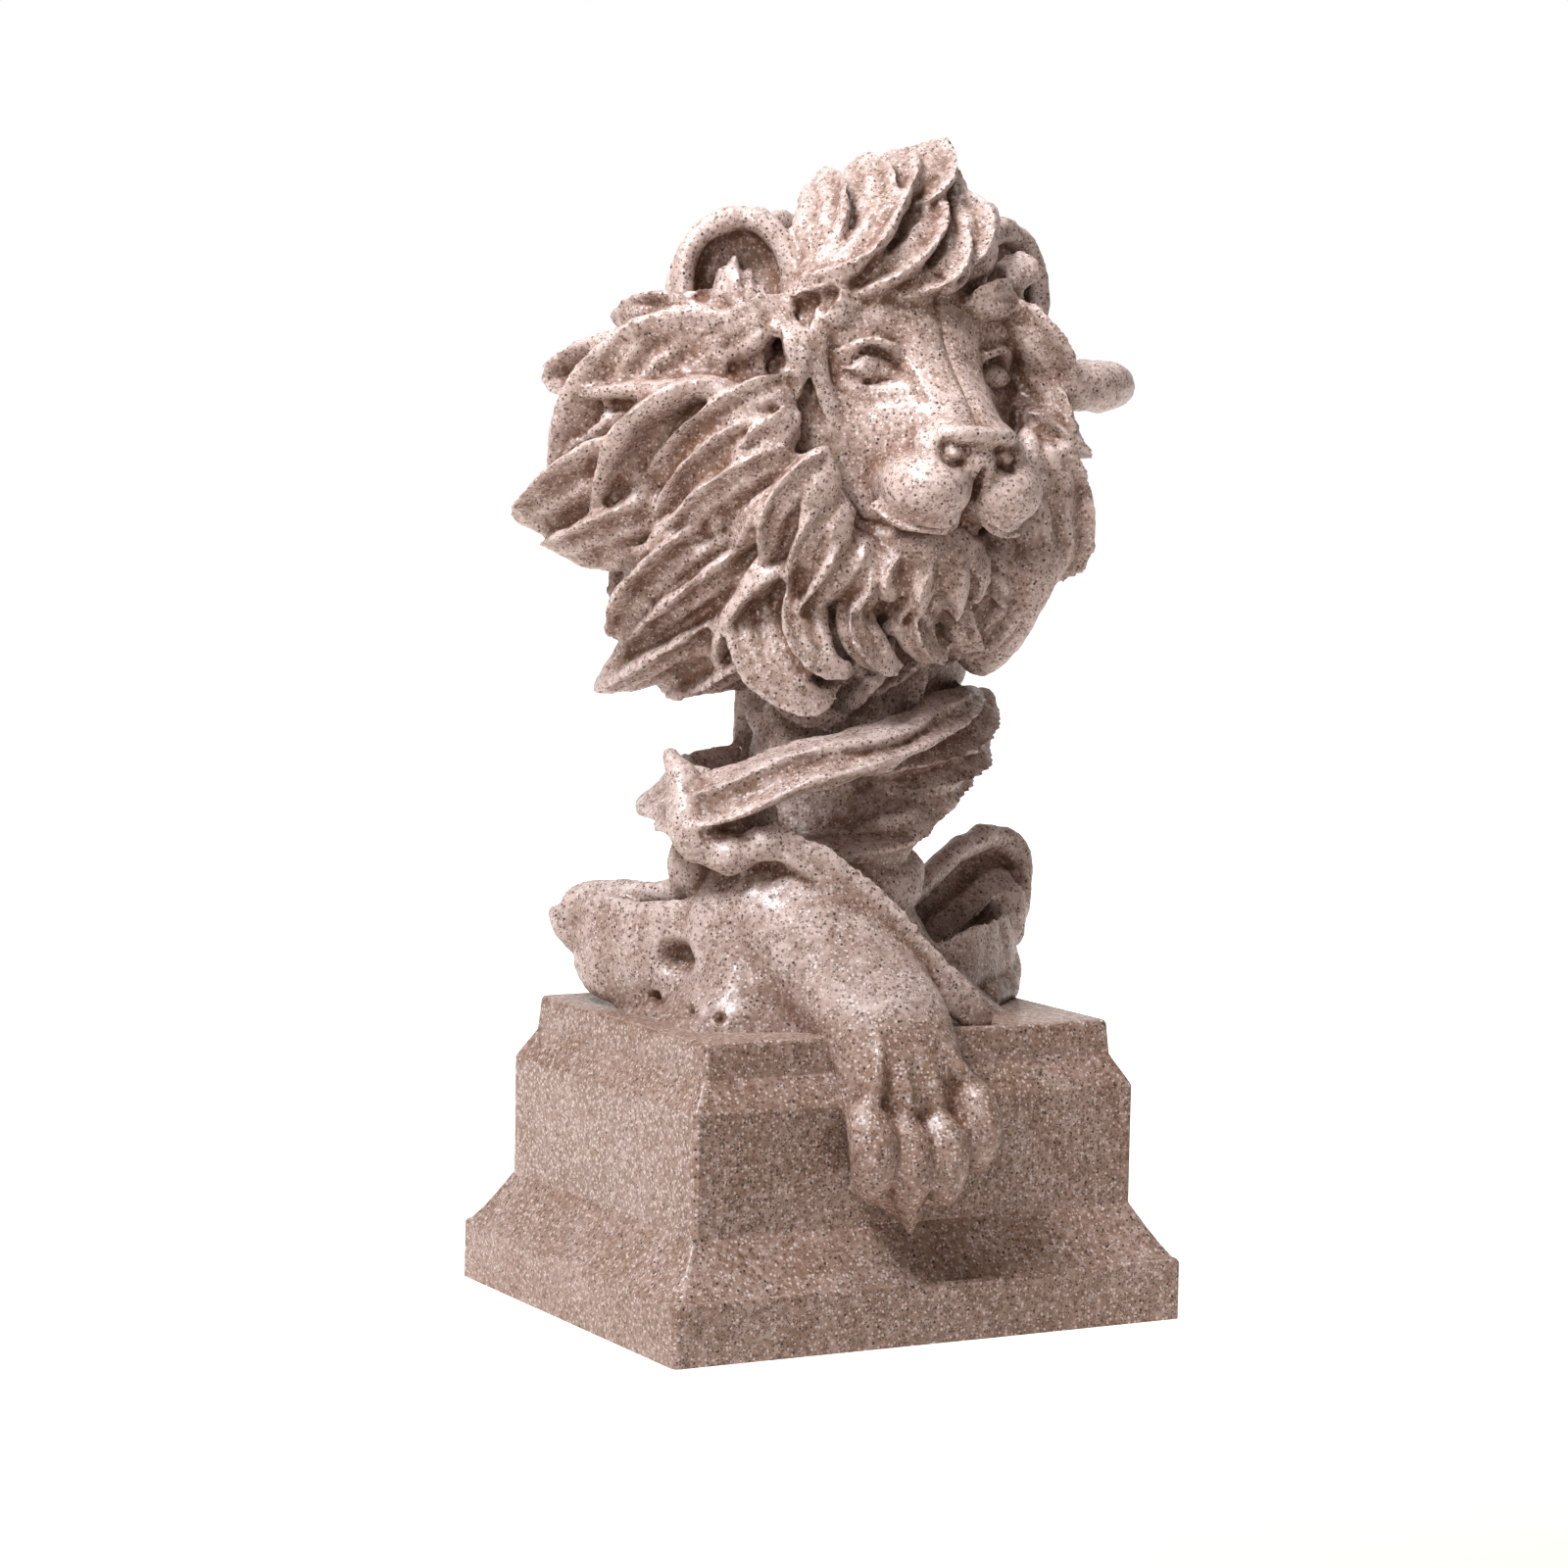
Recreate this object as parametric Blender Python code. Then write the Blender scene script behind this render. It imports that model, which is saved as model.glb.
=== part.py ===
"""Lion head sculpture: a lion's head with a wind-blown mane, a twist of drapery and one
foreleg, standing on a moulded plinth. The real thing is one casting, so it is one solid.

Lengths of the plinth are in metres. The figure is modelled in figure units, each one
ninety-ninth of its height, with x to the viewer's right, y to the back and z up from the
plinth's top."""

import math

import bmesh
import bpy
import numpy as np

# Driving dimensions of the plinth, in metres
BASE_WIDTH = 0.0650
BASE_DEPTH = 0.0550
BASE_HEIGHT = 0.0070
SLOPE_HEIGHT = 0.0060
DIE_HEIGHT = 0.0140
SHOULDER_HEIGHT = 0.0030
CAP_HEIGHT = 0.0040
DIE_INSET = 0.0043
SHOULDER_INSET = 0.0019
CAP_TAPER = 0.0003
CORNER_RADIUS = 0.0006
ARRIS = 0.0005

# Driving dimension of the figure, in metres
FIGURE_HEIGHT = 0.0990

PLINTH_HEIGHT = BASE_HEIGHT + SLOPE_HEIGHT + DIE_HEIGHT + SHOULDER_HEIGHT + CAP_HEIGHT
UNIT = FIGURE_HEIGHT / 99.0
CAP_FRONT = (BASE_DEPTH / 2 - DIE_INSET - SHOULDER_INSET) / UNIT
DIE_FRONT = (BASE_DEPTH / 2 - DIE_INSET) / UNIT

# How finely the clay is fused, in figure units, how often each kind is smoothed, and how many
# of the figure's triangles stay
FLESH_GRAIN = 0.80
SKIN_GRAIN = 0.66
FLESH_ROUNDS = 10
SKIN_ROUNDS = 2
KEPT_TRIANGLES = 9100

COLOUR = (0.46, 0.35, 0.30, 1.0)
ROUGHNESS = 0.42


# Forms: each is a rule that moves a ball's points, and the ball's rings and segments

WORLD = np.eye(3)
# Sections, as (aside, outward) points round a form that is drawn along a route
ROUND = None
WAVE = np.array([
    (-1.0, 0.0), (-0.6, 0.24), (-0.1, 0.52), (0.35, 0.8), (0.68, 1.0), (0.8, 0.92),
    (0.66, 0.52), (0.72, 0.12), (1.0, -0.15), (0.7, -0.8), (0.0, -1.0), (-0.7, -0.7),
])
LEAF = np.array([
    (-1.0, 0.25), (-0.5, 0.42), (0.0, 0.5), (0.5, 0.42), (1.0, 0.25),
    (0.9, 0.0), (0.5, -0.25), (0.0, -0.35), (-0.5, -0.25), (-0.9, 0.0),
])
CUP = np.array([
    (-1.0, 0.75), (-0.8, 0.95), (-0.62, 0.7), (-0.3, 0.25), (0.0, 0.12), (0.3, 0.25), (0.62, 0.7),
    (0.8, 0.95), (1.0, 0.75), (0.9, 0.0), (0.5, -0.55), (0.0, -0.7), (-0.5, -0.55), (-0.9, 0.0),
])
BAND = np.array([
    (-1.0, -0.1), (-0.6, 0.35), (-0.28, 0.75), (-0.1, 0.95), (0.0, 0.62), (0.35, 0.56),
    (0.7, 0.8), (0.95, 1.0), (1.0, 0.8), (0.8, 0.3), (0.6, -0.5), (0.0, -0.9), (-0.7, -0.6),
])
LOCK_GIRTH = (0.55, 0.85, 1.0, 0.95, 0.75, 0.45, 0.08)
LOCK_RISE = (0.3, 0.8, 1.0, 1.0, 0.8, 0.5, 0.1)
BLUNT_GIRTH = (0.6, 0.9, 1.0, 1.0, 1.0, 0.9, 0.7)
FLUTE_DEPTH = 0.16


def unit(vectors):
    return vectors / np.maximum(np.linalg.norm(vectors, axis=-1, keepdims=True), 1e-9)


def blob(centre, radii, axes=WORLD, rings=20, segments=20):
    """An ellipsoid, its radii along the three axes."""

    def place(points):
        return np.array(centre) + (points * radii) @ np.array(axes)

    return place, rings, segments


def along(route, share):
    """Places and directions at these shares of a smooth curve through the route's points."""
    route = np.array(route, float)
    ends = np.vstack([2 * route[0] - route[1], route, 2 * route[-1] - route[-2]])
    span = np.clip(share, 0.0, 0.9999) * (len(route) - 1)
    first = span.astype(int)
    t = (span - first)[:, None]
    a, b, c, d = (ends[first + k] for k in range(4))
    curve = 2 * a - 5 * b + 4 * c - d
    twist = 3 * b - a - 3 * c + d
    place = 0.5 * (2 * b + (c - a) * t + curve * t**2 + twist * t**3)
    heading = 0.5 * ((c - a) + 2 * curve * t + 3 * twist * t**2)
    return place, unit(heading)


def around_section(section, turn):
    """Points of a closed section at these shares of a turn."""
    if section is ROUND:
        return np.cos(2 * math.pi * turn), np.sin(2 * math.pi * turn)
    closed = np.vstack([section, section[:1]])
    at = np.linspace(0, 1, len(closed))
    return np.interp(turn, at, closed[:, 0]), np.interp(turn, at, closed[:, 1])


def drawn(
    route, width, thick, hub, section=ROUND, girth=LOCK_GIRTH, rise=None,
    flutes=0.0, twist=0.0, rings=24, segments=24,
):
    """A form drawn along a route, its section facing away from the hub. Girth and rise are its
    width and thickness as shares, evenly spaced, and a negative width mirrors the section."""
    rise = rise or girth

    def place(points):
        share = np.arccos(np.clip(points[:, 2], -1, 1)) / math.pi
        turn = (np.arctan2(points[:, 1], points[:, 0]) / (2 * math.pi)) % 1.0
        centre, heading = along(route, share)
        outward = centre - np.array(hub)
        outward = unit(outward - (outward * heading).sum(1)[:, None] * heading)
        aside = np.cross(heading, outward)
        side, up = around_section(section, turn)
        up = up + np.where(turn < 0.36, FLUTE_DEPTH * np.cos(2 * math.pi * flutes * side), 0) * (flutes > 0)
        angle = twist * (share - 0.5)
        side, up = side * np.cos(angle) - up * np.sin(angle), side * np.sin(angle) + up * np.cos(angle)
        closing = np.sqrt(np.clip(share / 0.05, 0, 1) * np.clip((1 - share) / 0.05, 0, 1))
        wide = np.interp(share, np.linspace(0, 1, len(girth)), girth) * closing * width
        high = np.interp(share, np.linspace(0, 1, len(rise)), rise) * closing * thick
        return centre + aside * (side * wide)[:, None] + outward * (up * high)[:, None]

    return place, rings, segments


def smooth_between(at, places, values):
    """A smooth curve through these values, as one array for each place asked for."""
    places, values = np.array(places, float), np.array(values, float)
    slopes = np.gradient(values, places, axis=0)
    k = np.clip(np.searchsorted(places, at) - 1, 0, len(places) - 2)
    span = (places[k + 1] - places[k])[:, None]
    t = np.clip((at - places[k])[:, None] / span, 0, 1)
    start, end = 2 * t**3 - 3 * t**2 + 1, 3 * t**2 - 2 * t**3
    pull = (t**3 - 2 * t**2 + t) * span * slopes[k] + (t**3 - t**2) * span * slopes[k + 1]
    return start * values[k] + end * values[k + 1] + pull


# The head, placed by steps to its own left and right, forward and up from between the eyes

FACE_ORIGIN = np.array([6.1, 0.0, 74.0])
FACE_YAW = math.radians(4.5)
FACE_ROLL = math.radians(2.5)
# Height, how far forward the middle of the face is, and how far it falls back at each step aside
FACE_STEPS = (0, 4, 6, 9, 12, 16)
FACE_ROWS = (
    (-26, 11.5, 1.6, 3.0, 5.4, 8.0, 11.0),
    (-20, 15.5, 1.8, 3.8, 6.4, 8.6, 11.0),
    (-16, 17.2, 2.2, 4.4, 7.2, 9.2, 11.5),
    (-12, 19.2, 2.2, 5.2, 8.4, 10.2, 12.5),
    (-9, 21.0, 1.4, 5.0, 9.2, 11.2, 13.5),
    (-6, 20.2, 1.0, 4.4, 8.6, 10.6, 13.2),
    (-3, 17.8, 0.8, 3.6, 7.0, 8.4, 11.5),
    (0, 15.2, 0.8, 3.4, 5.2, 6.0, 9.0),
    (3, 13.8, 0.5, 1.8, 2.8, 3.8, 8.0),
    (6, 12.8, 0.6, 1.2, 2.0, 3.4, 7.5),
    (10, 10.4, 0.5, 1.0, 2.0, 3.6, 7.5),
    (16, 4.0, 0.4, 1.0, 2.2, 4.0, 7.5),
)
FACE_HALF_WIDTH = 17.5
FACE_HALF_HEIGHT = 19.5
FACE_MIDDLE = -5.0
FACE_BACK = -2.0
HEAD_MASSES = {
    "skull": ((0, -1, 2), (16, 10.0, 14)),
    "brow": ((7.4, 8.6, 4.4), (4.6, 3.4, 2.6)),
    "cheekbone": ((10.6, 6.6, -4.6), (3.8, 3.8, 3.8)),
    "cheek": ((9.5, 3.5, -10.5), (6.5, 6.5, 8)),
    "cheek side": ((13.6, 1.6, -8.5), (5.6, 6.6, 11.0)),
    "nose": ((3.2, 18.0, -7.9), (2.9, 3.6, 2.2)),
    "muzzle": ((4.6, 15.6, -13.4), (4.6, 5.4, 4.0)),
    "chin": ((0, 12.4, -20.6), (6.4, 4.8, 5.6)),
    "jaw": ((0, 5.5, -19.5), (10.5, 7.5, 7.5)),
}
# Root, bend and tip of each tuft under the chin
CHIN_TUFTS = (
    ((-4.6, 12.6, -20.5), (-6.0, 13.6, -24.0), (-5.2, 12.6, -27.0)),
    ((-1.8, 15.0, -21.5), (-3.0, 15.8, -25.0), (-2.0, 13.8, -28.4)),
    ((1.6, 15.6, -21.0), (1.4, 16.6, -24.6), (2.6, 14.6, -28.8)),
    ((4.4, 14.0, -20.0), (5.2, 15.0, -23.0), (6.6, 13.4, -26.6)),
    ((6.2, 11.6, -19.0), (7.4, 12.0, -21.8), (8.8, 10.6, -24.6)),
)
EAR_HALF_WIDTH = 6.4
EAR_HALF_HEIGHT = 7.4
EAR_RIM = 1.35


def face_axes():
    right = unit(np.array([math.cos(FACE_YAW), math.sin(FACE_YAW), -math.sin(FACE_ROLL)]))
    forward = np.array([math.sin(FACE_YAW), -math.cos(FACE_YAW), 0.0])
    return np.array([right, forward, np.cross(right, -forward)])


def face(right, forward, up):
    return FACE_ORIGIN + np.array([right, forward, up]) @ face_axes()


def face_mask(points):
    """The front of the head, its relief worked out from the rows above."""
    right = points[:, 0] * FACE_HALF_WIDTH
    up = points[:, 2] * FACE_HALF_HEIGHT + FACE_MIDDLE
    heights = [row[0] for row in FACE_ROWS]
    middle_and_falls = smooth_between(up, heights, [row[1:] for row in FACE_ROWS])
    falls = middle_and_falls.copy()
    falls[:, 0] = 0.0
    fall = np.array([np.interp(away, FACE_STEPS, row) for away, row in zip(np.abs(right), falls)])
    rim = np.clip(points[:, 1] * 2.2, 0, 1)
    front = FACE_BACK + (middle_and_falls[:, 0] - fall - FACE_BACK) * rim
    forward = np.where(points[:, 1] > 0, front, FACE_BACK + points[:, 1] * 4)
    return FACE_ORIGIN + np.stack([right, forward, up], 1) @ face_axes()


def on_face(points, width, thick, girth, section=ROUND):
    """A small form drawn over the face."""
    return drawn(
        [face(*p) for p in points], width, thick, face(0, -5, -4), section, girth, rings=20,
        segments=16,
    )


def head_masses():
    axes = face_axes()
    yield face_mask, 56, 72
    for (right, forward, up), radii in HEAD_MASSES.values():
        for side in {right, -right}:
            yield blob(face(side, forward, up), radii, axes)


def head_details():
    """Eyes, nose, lips and chin, laid over the smooth face."""
    axes = face_axes()
    for side in (-1, 1):
        yield blob(face(side * 8.7, 8.9, -0.7), (3.3, 2.7, 2.2), axes)
        brow = [(side * 13.2, 7.4, 0.0), (side * 9.4, 10.9, 2.3), (side * 5.7, 12.7, 1.5)]
        yield on_face(brow, 0.8, 1.1, (0.5, 1, 1, 0.6))
        lid = [(side * 12.4, 8.2, -1.8), (side * 9.0, 10.7, -3.1), (side * 5.7, 12.3, -2.0)]
        yield on_face(lid, 0.45, 0.6, (0.5, 1, 1, 0.6))
        wing = [
            (side * 1.4, 20.2, -10.6), (side * 4.2, 20.4, -10.2), (side * 6.0, 18.6, -9.0),
            (side * 5.4, 18.0, -7.4),
        ]
        yield on_face(wing, 1.2, 1.4, (0.8, 1, 1, 0.6))
        yield blob(face(side * 4.9, 17.8, -13.7), (5.0, 5.4, 4.1), axes)
        lip = [
            (side * 9.6, 13.4, -15.6), (side * 7.6, 17.2, -17.5), (side * 4.2, 19.8, -18.0),
            (side * 1.2, 19.4, -16.8),
        ]
        yield on_face(lip, 1.0, 1.3, (0.4, 1, 1, 0.9, 0.5))
        edge = [
            (side * 12.4, 7.4, 8.0), (side * 14.2, 8.6, 2.5), (side * 13.8, 9.4, -3.5),
            (side * 11.6, 9.8, -8.5),
        ]
        yield on_face(edge, 1.2, 1.5, (0.4, 0.9, 1, 0.8, 0.3), WAVE)
    yield blob(face(0, 20.0, -10.6), (2.4, 2.6, 2.2), axes)
    tip = [(-5.6, 19.0, -7.8), (-2.6, 21.6, -7.6), (2.6, 21.6, -7.6), (5.6, 19.0, -7.8)]
    yield on_face(tip, 1.0, 1.2, (0.7, 1, 1, 0.7))
    for tuft in CHIN_TUFTS:
        yield on_face(tuft, 1.9, 1.9, (0.8, 1, 0.8, 0.15), WAVE)


def ear_frame(side):
    """The ear's middle, then its directions across, up and forward."""
    centre = FACE_ORIGIN + np.array([side * 17.4 - 0.9, 0.5, 9.0 - side * 0.1])
    forward = unit(np.array([side * 0.42 - 0.05, -0.90, 0.12]))
    across = unit(np.cross(forward, (0, 0, 1.0)))
    return centre, across, np.cross(across, forward), forward


def ear(side):
    """A dished ear, a rolled rim round it and tufts inside it."""
    centre, across, up, forward = ear_frame(side)

    def at(wide, high, ahead):
        return centre + wide * across + high * up + ahead * forward

    def dish(points):
        reach = np.hypot(points[:, 0], points[:, 2])
        hollow = 0.9 - 3.0 * (1 - reach**3).clip(0, 1)
        ahead = np.where(points[:, 1] > 0, hollow, 4.0 * points[:, 1])
        flat = np.outer(points[:, 0] * EAR_HALF_WIDTH, across)
        flat = flat + np.outer(points[:, 2] * EAR_HALF_HEIGHT, up)
        return centre + flat + np.outer(ahead, forward)

    yield dish, 26, 28
    turns = np.radians(np.linspace(-150, 150, 9))
    rim = [at(6.1 * math.sin(turn), 7.0 * math.cos(turn), 0.9) for turn in turns]
    yield drawn(
        rim, EAR_RIM, EAR_RIM + 0.15, at(0, 0, -9), ROUND, (0.7, 1, 1, 1, 0.7), rings=40,
        segments=14,
    )
    for wide, high, length in ((-2.6, -5.6, 2.6), (-0.8, -5.8, 3.6), (1.2, -5.4, 4.2), (3.2, -4.4, 3.0)):
        tuft = [
            at(wide, high, -0.8), at(wide * 0.6, high + length, 0.4),
            at(wide * 0.9 - 0.6, high + length * 2.1, -0.6),
        ]
        yield drawn(tuft, 1.5, 1.6, at(0, 0, -9), WAVE, (0.8, 1, 0.8, 0.2), rings=18, segments=18)


# The mane: locks named by clock, in degrees from the top as the viewer sees it, and by reach
# from its middle

MANE_MIDDLE = (5.0, 66.0)
MANE_HUB = (5.0, 14.0, 66.0)
MANE_FRONT = -11.0
# Root clock and reach, tip clock and reach, half width, bow, swell, section
LOCKS = {
    "roll under the ear": (-40, 20, -75, 26.5, 2.6, -3, -1, WAVE),
    "bump by the ear": (-63, 20, -61, 27.8, 3.0, 3, 0, WAVE),
    "bump beyond": (-69, 21, -66, 32, 3.4, 3, 0, WAVE),
    "upper left tuft": (-70, 20, -81, 36, 4.2, 0, 0, CUP),
    "broad left lock": (-70, 18, -115, 33.5, 6.0, 12, 2, CUP),
    "left point": (-94, 24, -106, 38.4, 5.4, -1, 0, WAVE),
    "left point below": (-110, 24, -111, 36.6, 4.6, -1, 1, WAVE),
    "first lens lock": (-74, 15.5, -112, 30, 3.6, 6, -2, WAVE),
    "second lens lock": (-90, 16, -118, 29, 3.4, 6, -1, WAVE),
    "third lens lock": (-102, 15, -124, 31, 3.4, 6, -2, WAVE),
    "lock over the cheek": (-86, 14.5, -118, 21, 2.6, 7, 1, WAVE),
    "curl by the jaw": (-112, 14, -128, 23.5, 2.8, 5, -1, WAVE),
    "lower left broad": (-120, 22, -132, 35.5, 4.8, 2, 0, WAVE),
    "lower left tuft": (-130, 21, -134, 36, 4.2, 1, -1, WAVE),
    "lower left point": (-142, 23, -138, 40.5, 4.2, 1, 0, WAVE),
    "lower left curl": (-154, 23, -145, 36.5, 4.0, 0, 0, WAVE),
    "beard lock": (-144, 13, -150, 25, 3.8, -1, 0, WAVE),
    "beard lock inside": (-162, 14, -160, 22, 3.2, -2, 0, WAVE),
    "beard lock middle": (-182, 14, -173, 22, 3.2, -1, 0, WAVE),
    "throat lock": (-146, 19, -156, 32, 5.2, 7, -1, CUP),
    "throat lock below": (-186, 22, -160, 34.5, 5.2, -2, 1, CUP),
    "goatee right": (157, 14, 150, 23, 2.8, -7, 1, WAVE),
    "goatee middle": (171, 14, 159, 21.5, 2.8, -3, 1, WAVE),
    "goatee left": (184, 14, 168, 20.5, 2.8, -1, 0, WAVE),
    "temple strand": (-24, 20, -44, 17, 1.5, 2, -1, WAVE),
    "face edge strand": (-47, 19, -70, 15.5, 1.6, 1, 1, WAVE),
    "right temple lock": (35, 20, 76, 20, 3.0, 0, 0, WAVE),
    "right tuft": (70, 17, 78.5, 31.0, 3.0, 1, 0, ROUND),
    "right lock below": (78, 15, 95, 22.8, 2.8, 1, 0, WAVE),
    "right corner": (88, 15, 121, 30.5, -3.0, -1, -6, WAVE),
    "right corner inside": (96, 15, 128, 25, -3.0, 2, 1, WAVE),
    "right jaw lock": (100, 15, 131, 26, -4.2, 4, 0, WAVE),
    "right throat lock": (112, 18, 155, 29.0, 3.4, 3, -1, ROUND),
    "right throat inside": (130, 15, 164, 26, -3.4, 5, 1, WAVE),
    "right cheek strand": (58, 18, 100, 17.5, 1.8, 3, 1, WAVE),
    "right cheek strand beyond": (66, 19, 108, 19, 2.0, 4, 0, WAVE),
    "right jaw strand": (104, 17, 138, 20, -2.2, 4, 1, WAVE),
    "right jaw roll": (92, 16, 134, 25.6, 2.3, 4, 0, ROUND),
    "right throat roll": (120, 17, 148, 26.6, 2.3, 4, 0, ROUND),
    "lock beside the jaw": (-104, 12, -132, 20.5, 3.4, 4, 1, WAVE),
    "lock under the cheek": (-122, 12, -150, 21.5, 3.2, 3, 1, WAVE),
    "brow tuft": (45, 21, 22, 16, 2.2, -1, 0, WAVE),
    "brow tuft above": (42, 21, 33, 23.5, 2.2, 0, 1, WAVE),
    "forelock": (-34, 21, 12, 31.5, 4.6, -3, -4, WAVE),
    "forelock below": (-30, 18, 14, 28.5, 3.8, 4, -3, WAVE),
    "forelock low": (-10, 16, 14, 26.0, 3.4, 4, -2, WAVE),
    "right flame": (3, 17, 13, 28.5, 3.8, 7, 0, WAVE),
    "right flame behind": (14, 18, 17, 27.5, 3.4, 3, 1, WAVE),
    "top flame": (2, 24, 9, 32.3, 4.0, 3, 1, WAVE),
    "top flame left": (-5, 24, 4, 32.0, 3.4, 1, 0, WAVE),
    "second flame": (-18, 21, -3, 31.2, 3.6, 3, 0, WAVE),
    "left flame": (-30, 21, -12, 30.0, 3.6, 1, 0, WAVE),
}
# How far aside, how far ahead and how large each companion of a broad lock is
COMPANIONS = ((0.85, -0.6, 0.62), (-0.75, 0.5, 0.5))
BROAD = 3.0
MANE_MASSES = (
    ((5.0, 7.0, 70.0), (20, 15, 19)),
    ((-8.5, 9.0, 63.0), (18, 10.5, 17)),
    ((-9.0, 6.0, 49.0), (12, 9.5, 12)),
    ((19.0, 5.5, 62.5), (11.5, 11.0, 17)),
    ((13.0, 5.0, 48.0), (10.5, 9.5, 12)),
    ((9.0, 5.0, 83.0), (10, 10, 10)),
    ((-5.5, 3.5, 62.0), (11, 11, 15)),
    ((0.0, 3.0, 47.5), (11, 9, 9)),
    ((12.6, 5.0, 39.5), (8, 7, 7)),
    ((11.0, 4.0, 44.0), (8, 7, 9)),
)
THROAT_HUB = (1.0, 6.0, 45.0)
# Route and half width of each curl under the jaw
THROAT_LOCKS = (
    (((-10, -2, 53), (-11.8, -4, 46), (-11.2, -6.4, 40), (-6.8, -8.6, 36.6), (-3.0, -9.2, 38.2)), 3.1),
    (((-5, -6, 52), (-8.0, -8.4, 46), (-6.6, -10.4, 41), (-2.2, -11.0, 39.2)), 2.9),
    (((0, -9, 49), (-2.4, -11.4, 44.8), (0.2, -11.8, 41), (4.2, -10.8, 40.2)), 2.6),
    (((6, -9, 47.5), (4.6, -11.8, 44.6), (7.0, -11.4, 41.8), (11, -9.4, 41.6)), 2.4),
    (((12, -7, 50), (11.6, -10.2, 46), (13.6, -9.4, 43), (17, -6.4, 43.4)), 2.5),
    (((-10, 0, 44), (-9.0, -4.6, 38.5), (-5.2, -7.0, 34.8), (-0.6, -7.8, 34.4)), 2.3),
)
# Height, number and reach of each ring of locks on the back of the head
BACK_RINGS = ((84, 7, 14), (74, 9, 20), (62, 10, 23), (50, 8, 20))


def mane_place(clock, reach, ahead=0.0):
    """A place on the mane's surface, which falls back faster on the left than on the right."""
    angle = math.radians(clock)
    left = 0.5 - 0.5 * math.sin(angle)
    back = MANE_FRONT + (0.45 + 0.75 * left) * (reach - 15.0)
    across, high = reach * math.sin(angle), reach * math.cos(angle)
    return np.array((MANE_MIDDLE[0] + across, back - ahead, MANE_MIDDLE[1] + high))


def lock(row, aside=0.0, lift=0.0, size=1.0):
    """One lock of the mane, or a companion moved aside, lifted and made smaller. A lock of round
    section ends bluntly."""
    root_clock, root_reach, tip_clock, tip_reach, width, bow, swell, section = row
    shift = math.degrees(aside * abs(width) / 26.0)
    route = []
    for share, bend, ahead in (
        (0, 0, -1.5), (0.33, bow, 2.0), (0.64, bow, 2.4), (0.87, bow * 0.35, 1.4),
        (1, -0.2 * bow, 0.2),
    ):
        clock = root_clock + (tip_clock - root_clock) * share + bend + shift * (1 - 0.5 * share)
        grown = (tip_reach - root_reach) * share * (0.35 + 0.65 * size)
        reach = root_reach + grown + swell * math.sin(math.pi * share)
        route.append(mane_place(clock, reach, ahead + lift))
    if size < 1.0:
        section = WAVE
    girth, rise = (BLUNT_GIRTH, BLUNT_GIRTH) if section is ROUND else (LOCK_GIRTH, LOCK_RISE)
    return drawn(
        route, width * size, abs(width) * size * 1.08, MANE_HUB, section, girth, rise,
        flutes=1.5 if section is WAVE else 0.0, twist=0.5, rings=30, segments=28,
    )


def mane_masses():
    for centre, radii in MANE_MASSES:
        yield blob(centre, radii, rings=24, segments=24)


def mane_locks():
    for row in LOCKS.values():
        yield lock(row)
        if abs(row[4]) > BROAD and row[7] is not ROUND:
            for aside, lift, size in COMPANIONS:
                yield lock(row, aside, lift, size)


def throat_locks():
    """Curls that hang from the jaw over the front of the neck."""
    for route, width in THROAT_LOCKS:
        yield drawn(
            route, width, abs(width), THROAT_HUB, WAVE, LOCK_GIRTH, LOCK_RISE, flutes=1.5,
            rings=28, segments=28,
        )


def back_locks():
    """Plainer locks that hang in rings over the back of the head."""
    for ring, (height, count, reach) in enumerate(BACK_RINGS):
        for k in range(count):
            turn = math.radians(15 + 150 * (k + 0.5 * (ring % 2)) / (count - 0.5))
            out = np.array([math.cos(turn), math.sin(turn) * 0.85, 0.0])
            root = np.array([4.0, 7.0, height + 8.0]) + out * (reach - 5.0)
            tip = np.array([3.0, 8.0, height - 9.0]) + out * (reach + 3.5)
            bend = 0.5 * (root + tip) + out * 2.5
            yield drawn(
                [root, bend, tip], 4.4, 3.4, (4.0, 6.0, height), WAVE, LOCK_GIRTH, LOCK_RISE,
                flutes=1.5,
            )


# The body: neck, drapery and the post behind

BODY_HUB = (0, 4, 20)
SKIRT_HEIGHT = 21.0
SKIRT_SIDE = 24.0
SKIRT_FRONT = 18.5
SKIRT_BACK = 17.0
SKIRT_WAIST = 9.5


def skirt(points):
    """The cloth spread from the waist over the top of the plinth."""
    height = (points[:, 2] + 1) / 2
    around = np.arctan2(points[:, 1], points[:, 0])
    ring = np.hypot(points[:, 0], points[:, 1])
    left = np.clip(-np.cos(around), 0, 1)
    front = np.clip(-np.sin(around), 0, 1)
    wide = SKIRT_SIDE + 1.5 * left
    deep = np.where(points[:, 1] > 0, SKIRT_BACK, SKIRT_FRONT)
    outer = (np.abs(np.cos(around) / wide) ** 3 + np.abs(np.sin(around) / deep) ** 3) ** (-1 / 3)
    waist = SKIRT_WAIST + 1.5 * left
    spread = (1 - height) ** (2.2 - 1.3 * np.minimum(1.6 * np.sqrt(left * front), 1.0))
    reach = waist + (outer - waist) * spread
    folds = 1 + 0.03 * np.sin(around * 9) * (1 - height)
    reach = reach * np.clip(ring * 2.2, 0, 1) * folds
    rise = SKIRT_HEIGHT * height - 2.5
    return np.stack([reach * np.cos(around) - height, reach * np.sin(around) - 2.0 * height, rise], 1)


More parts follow.
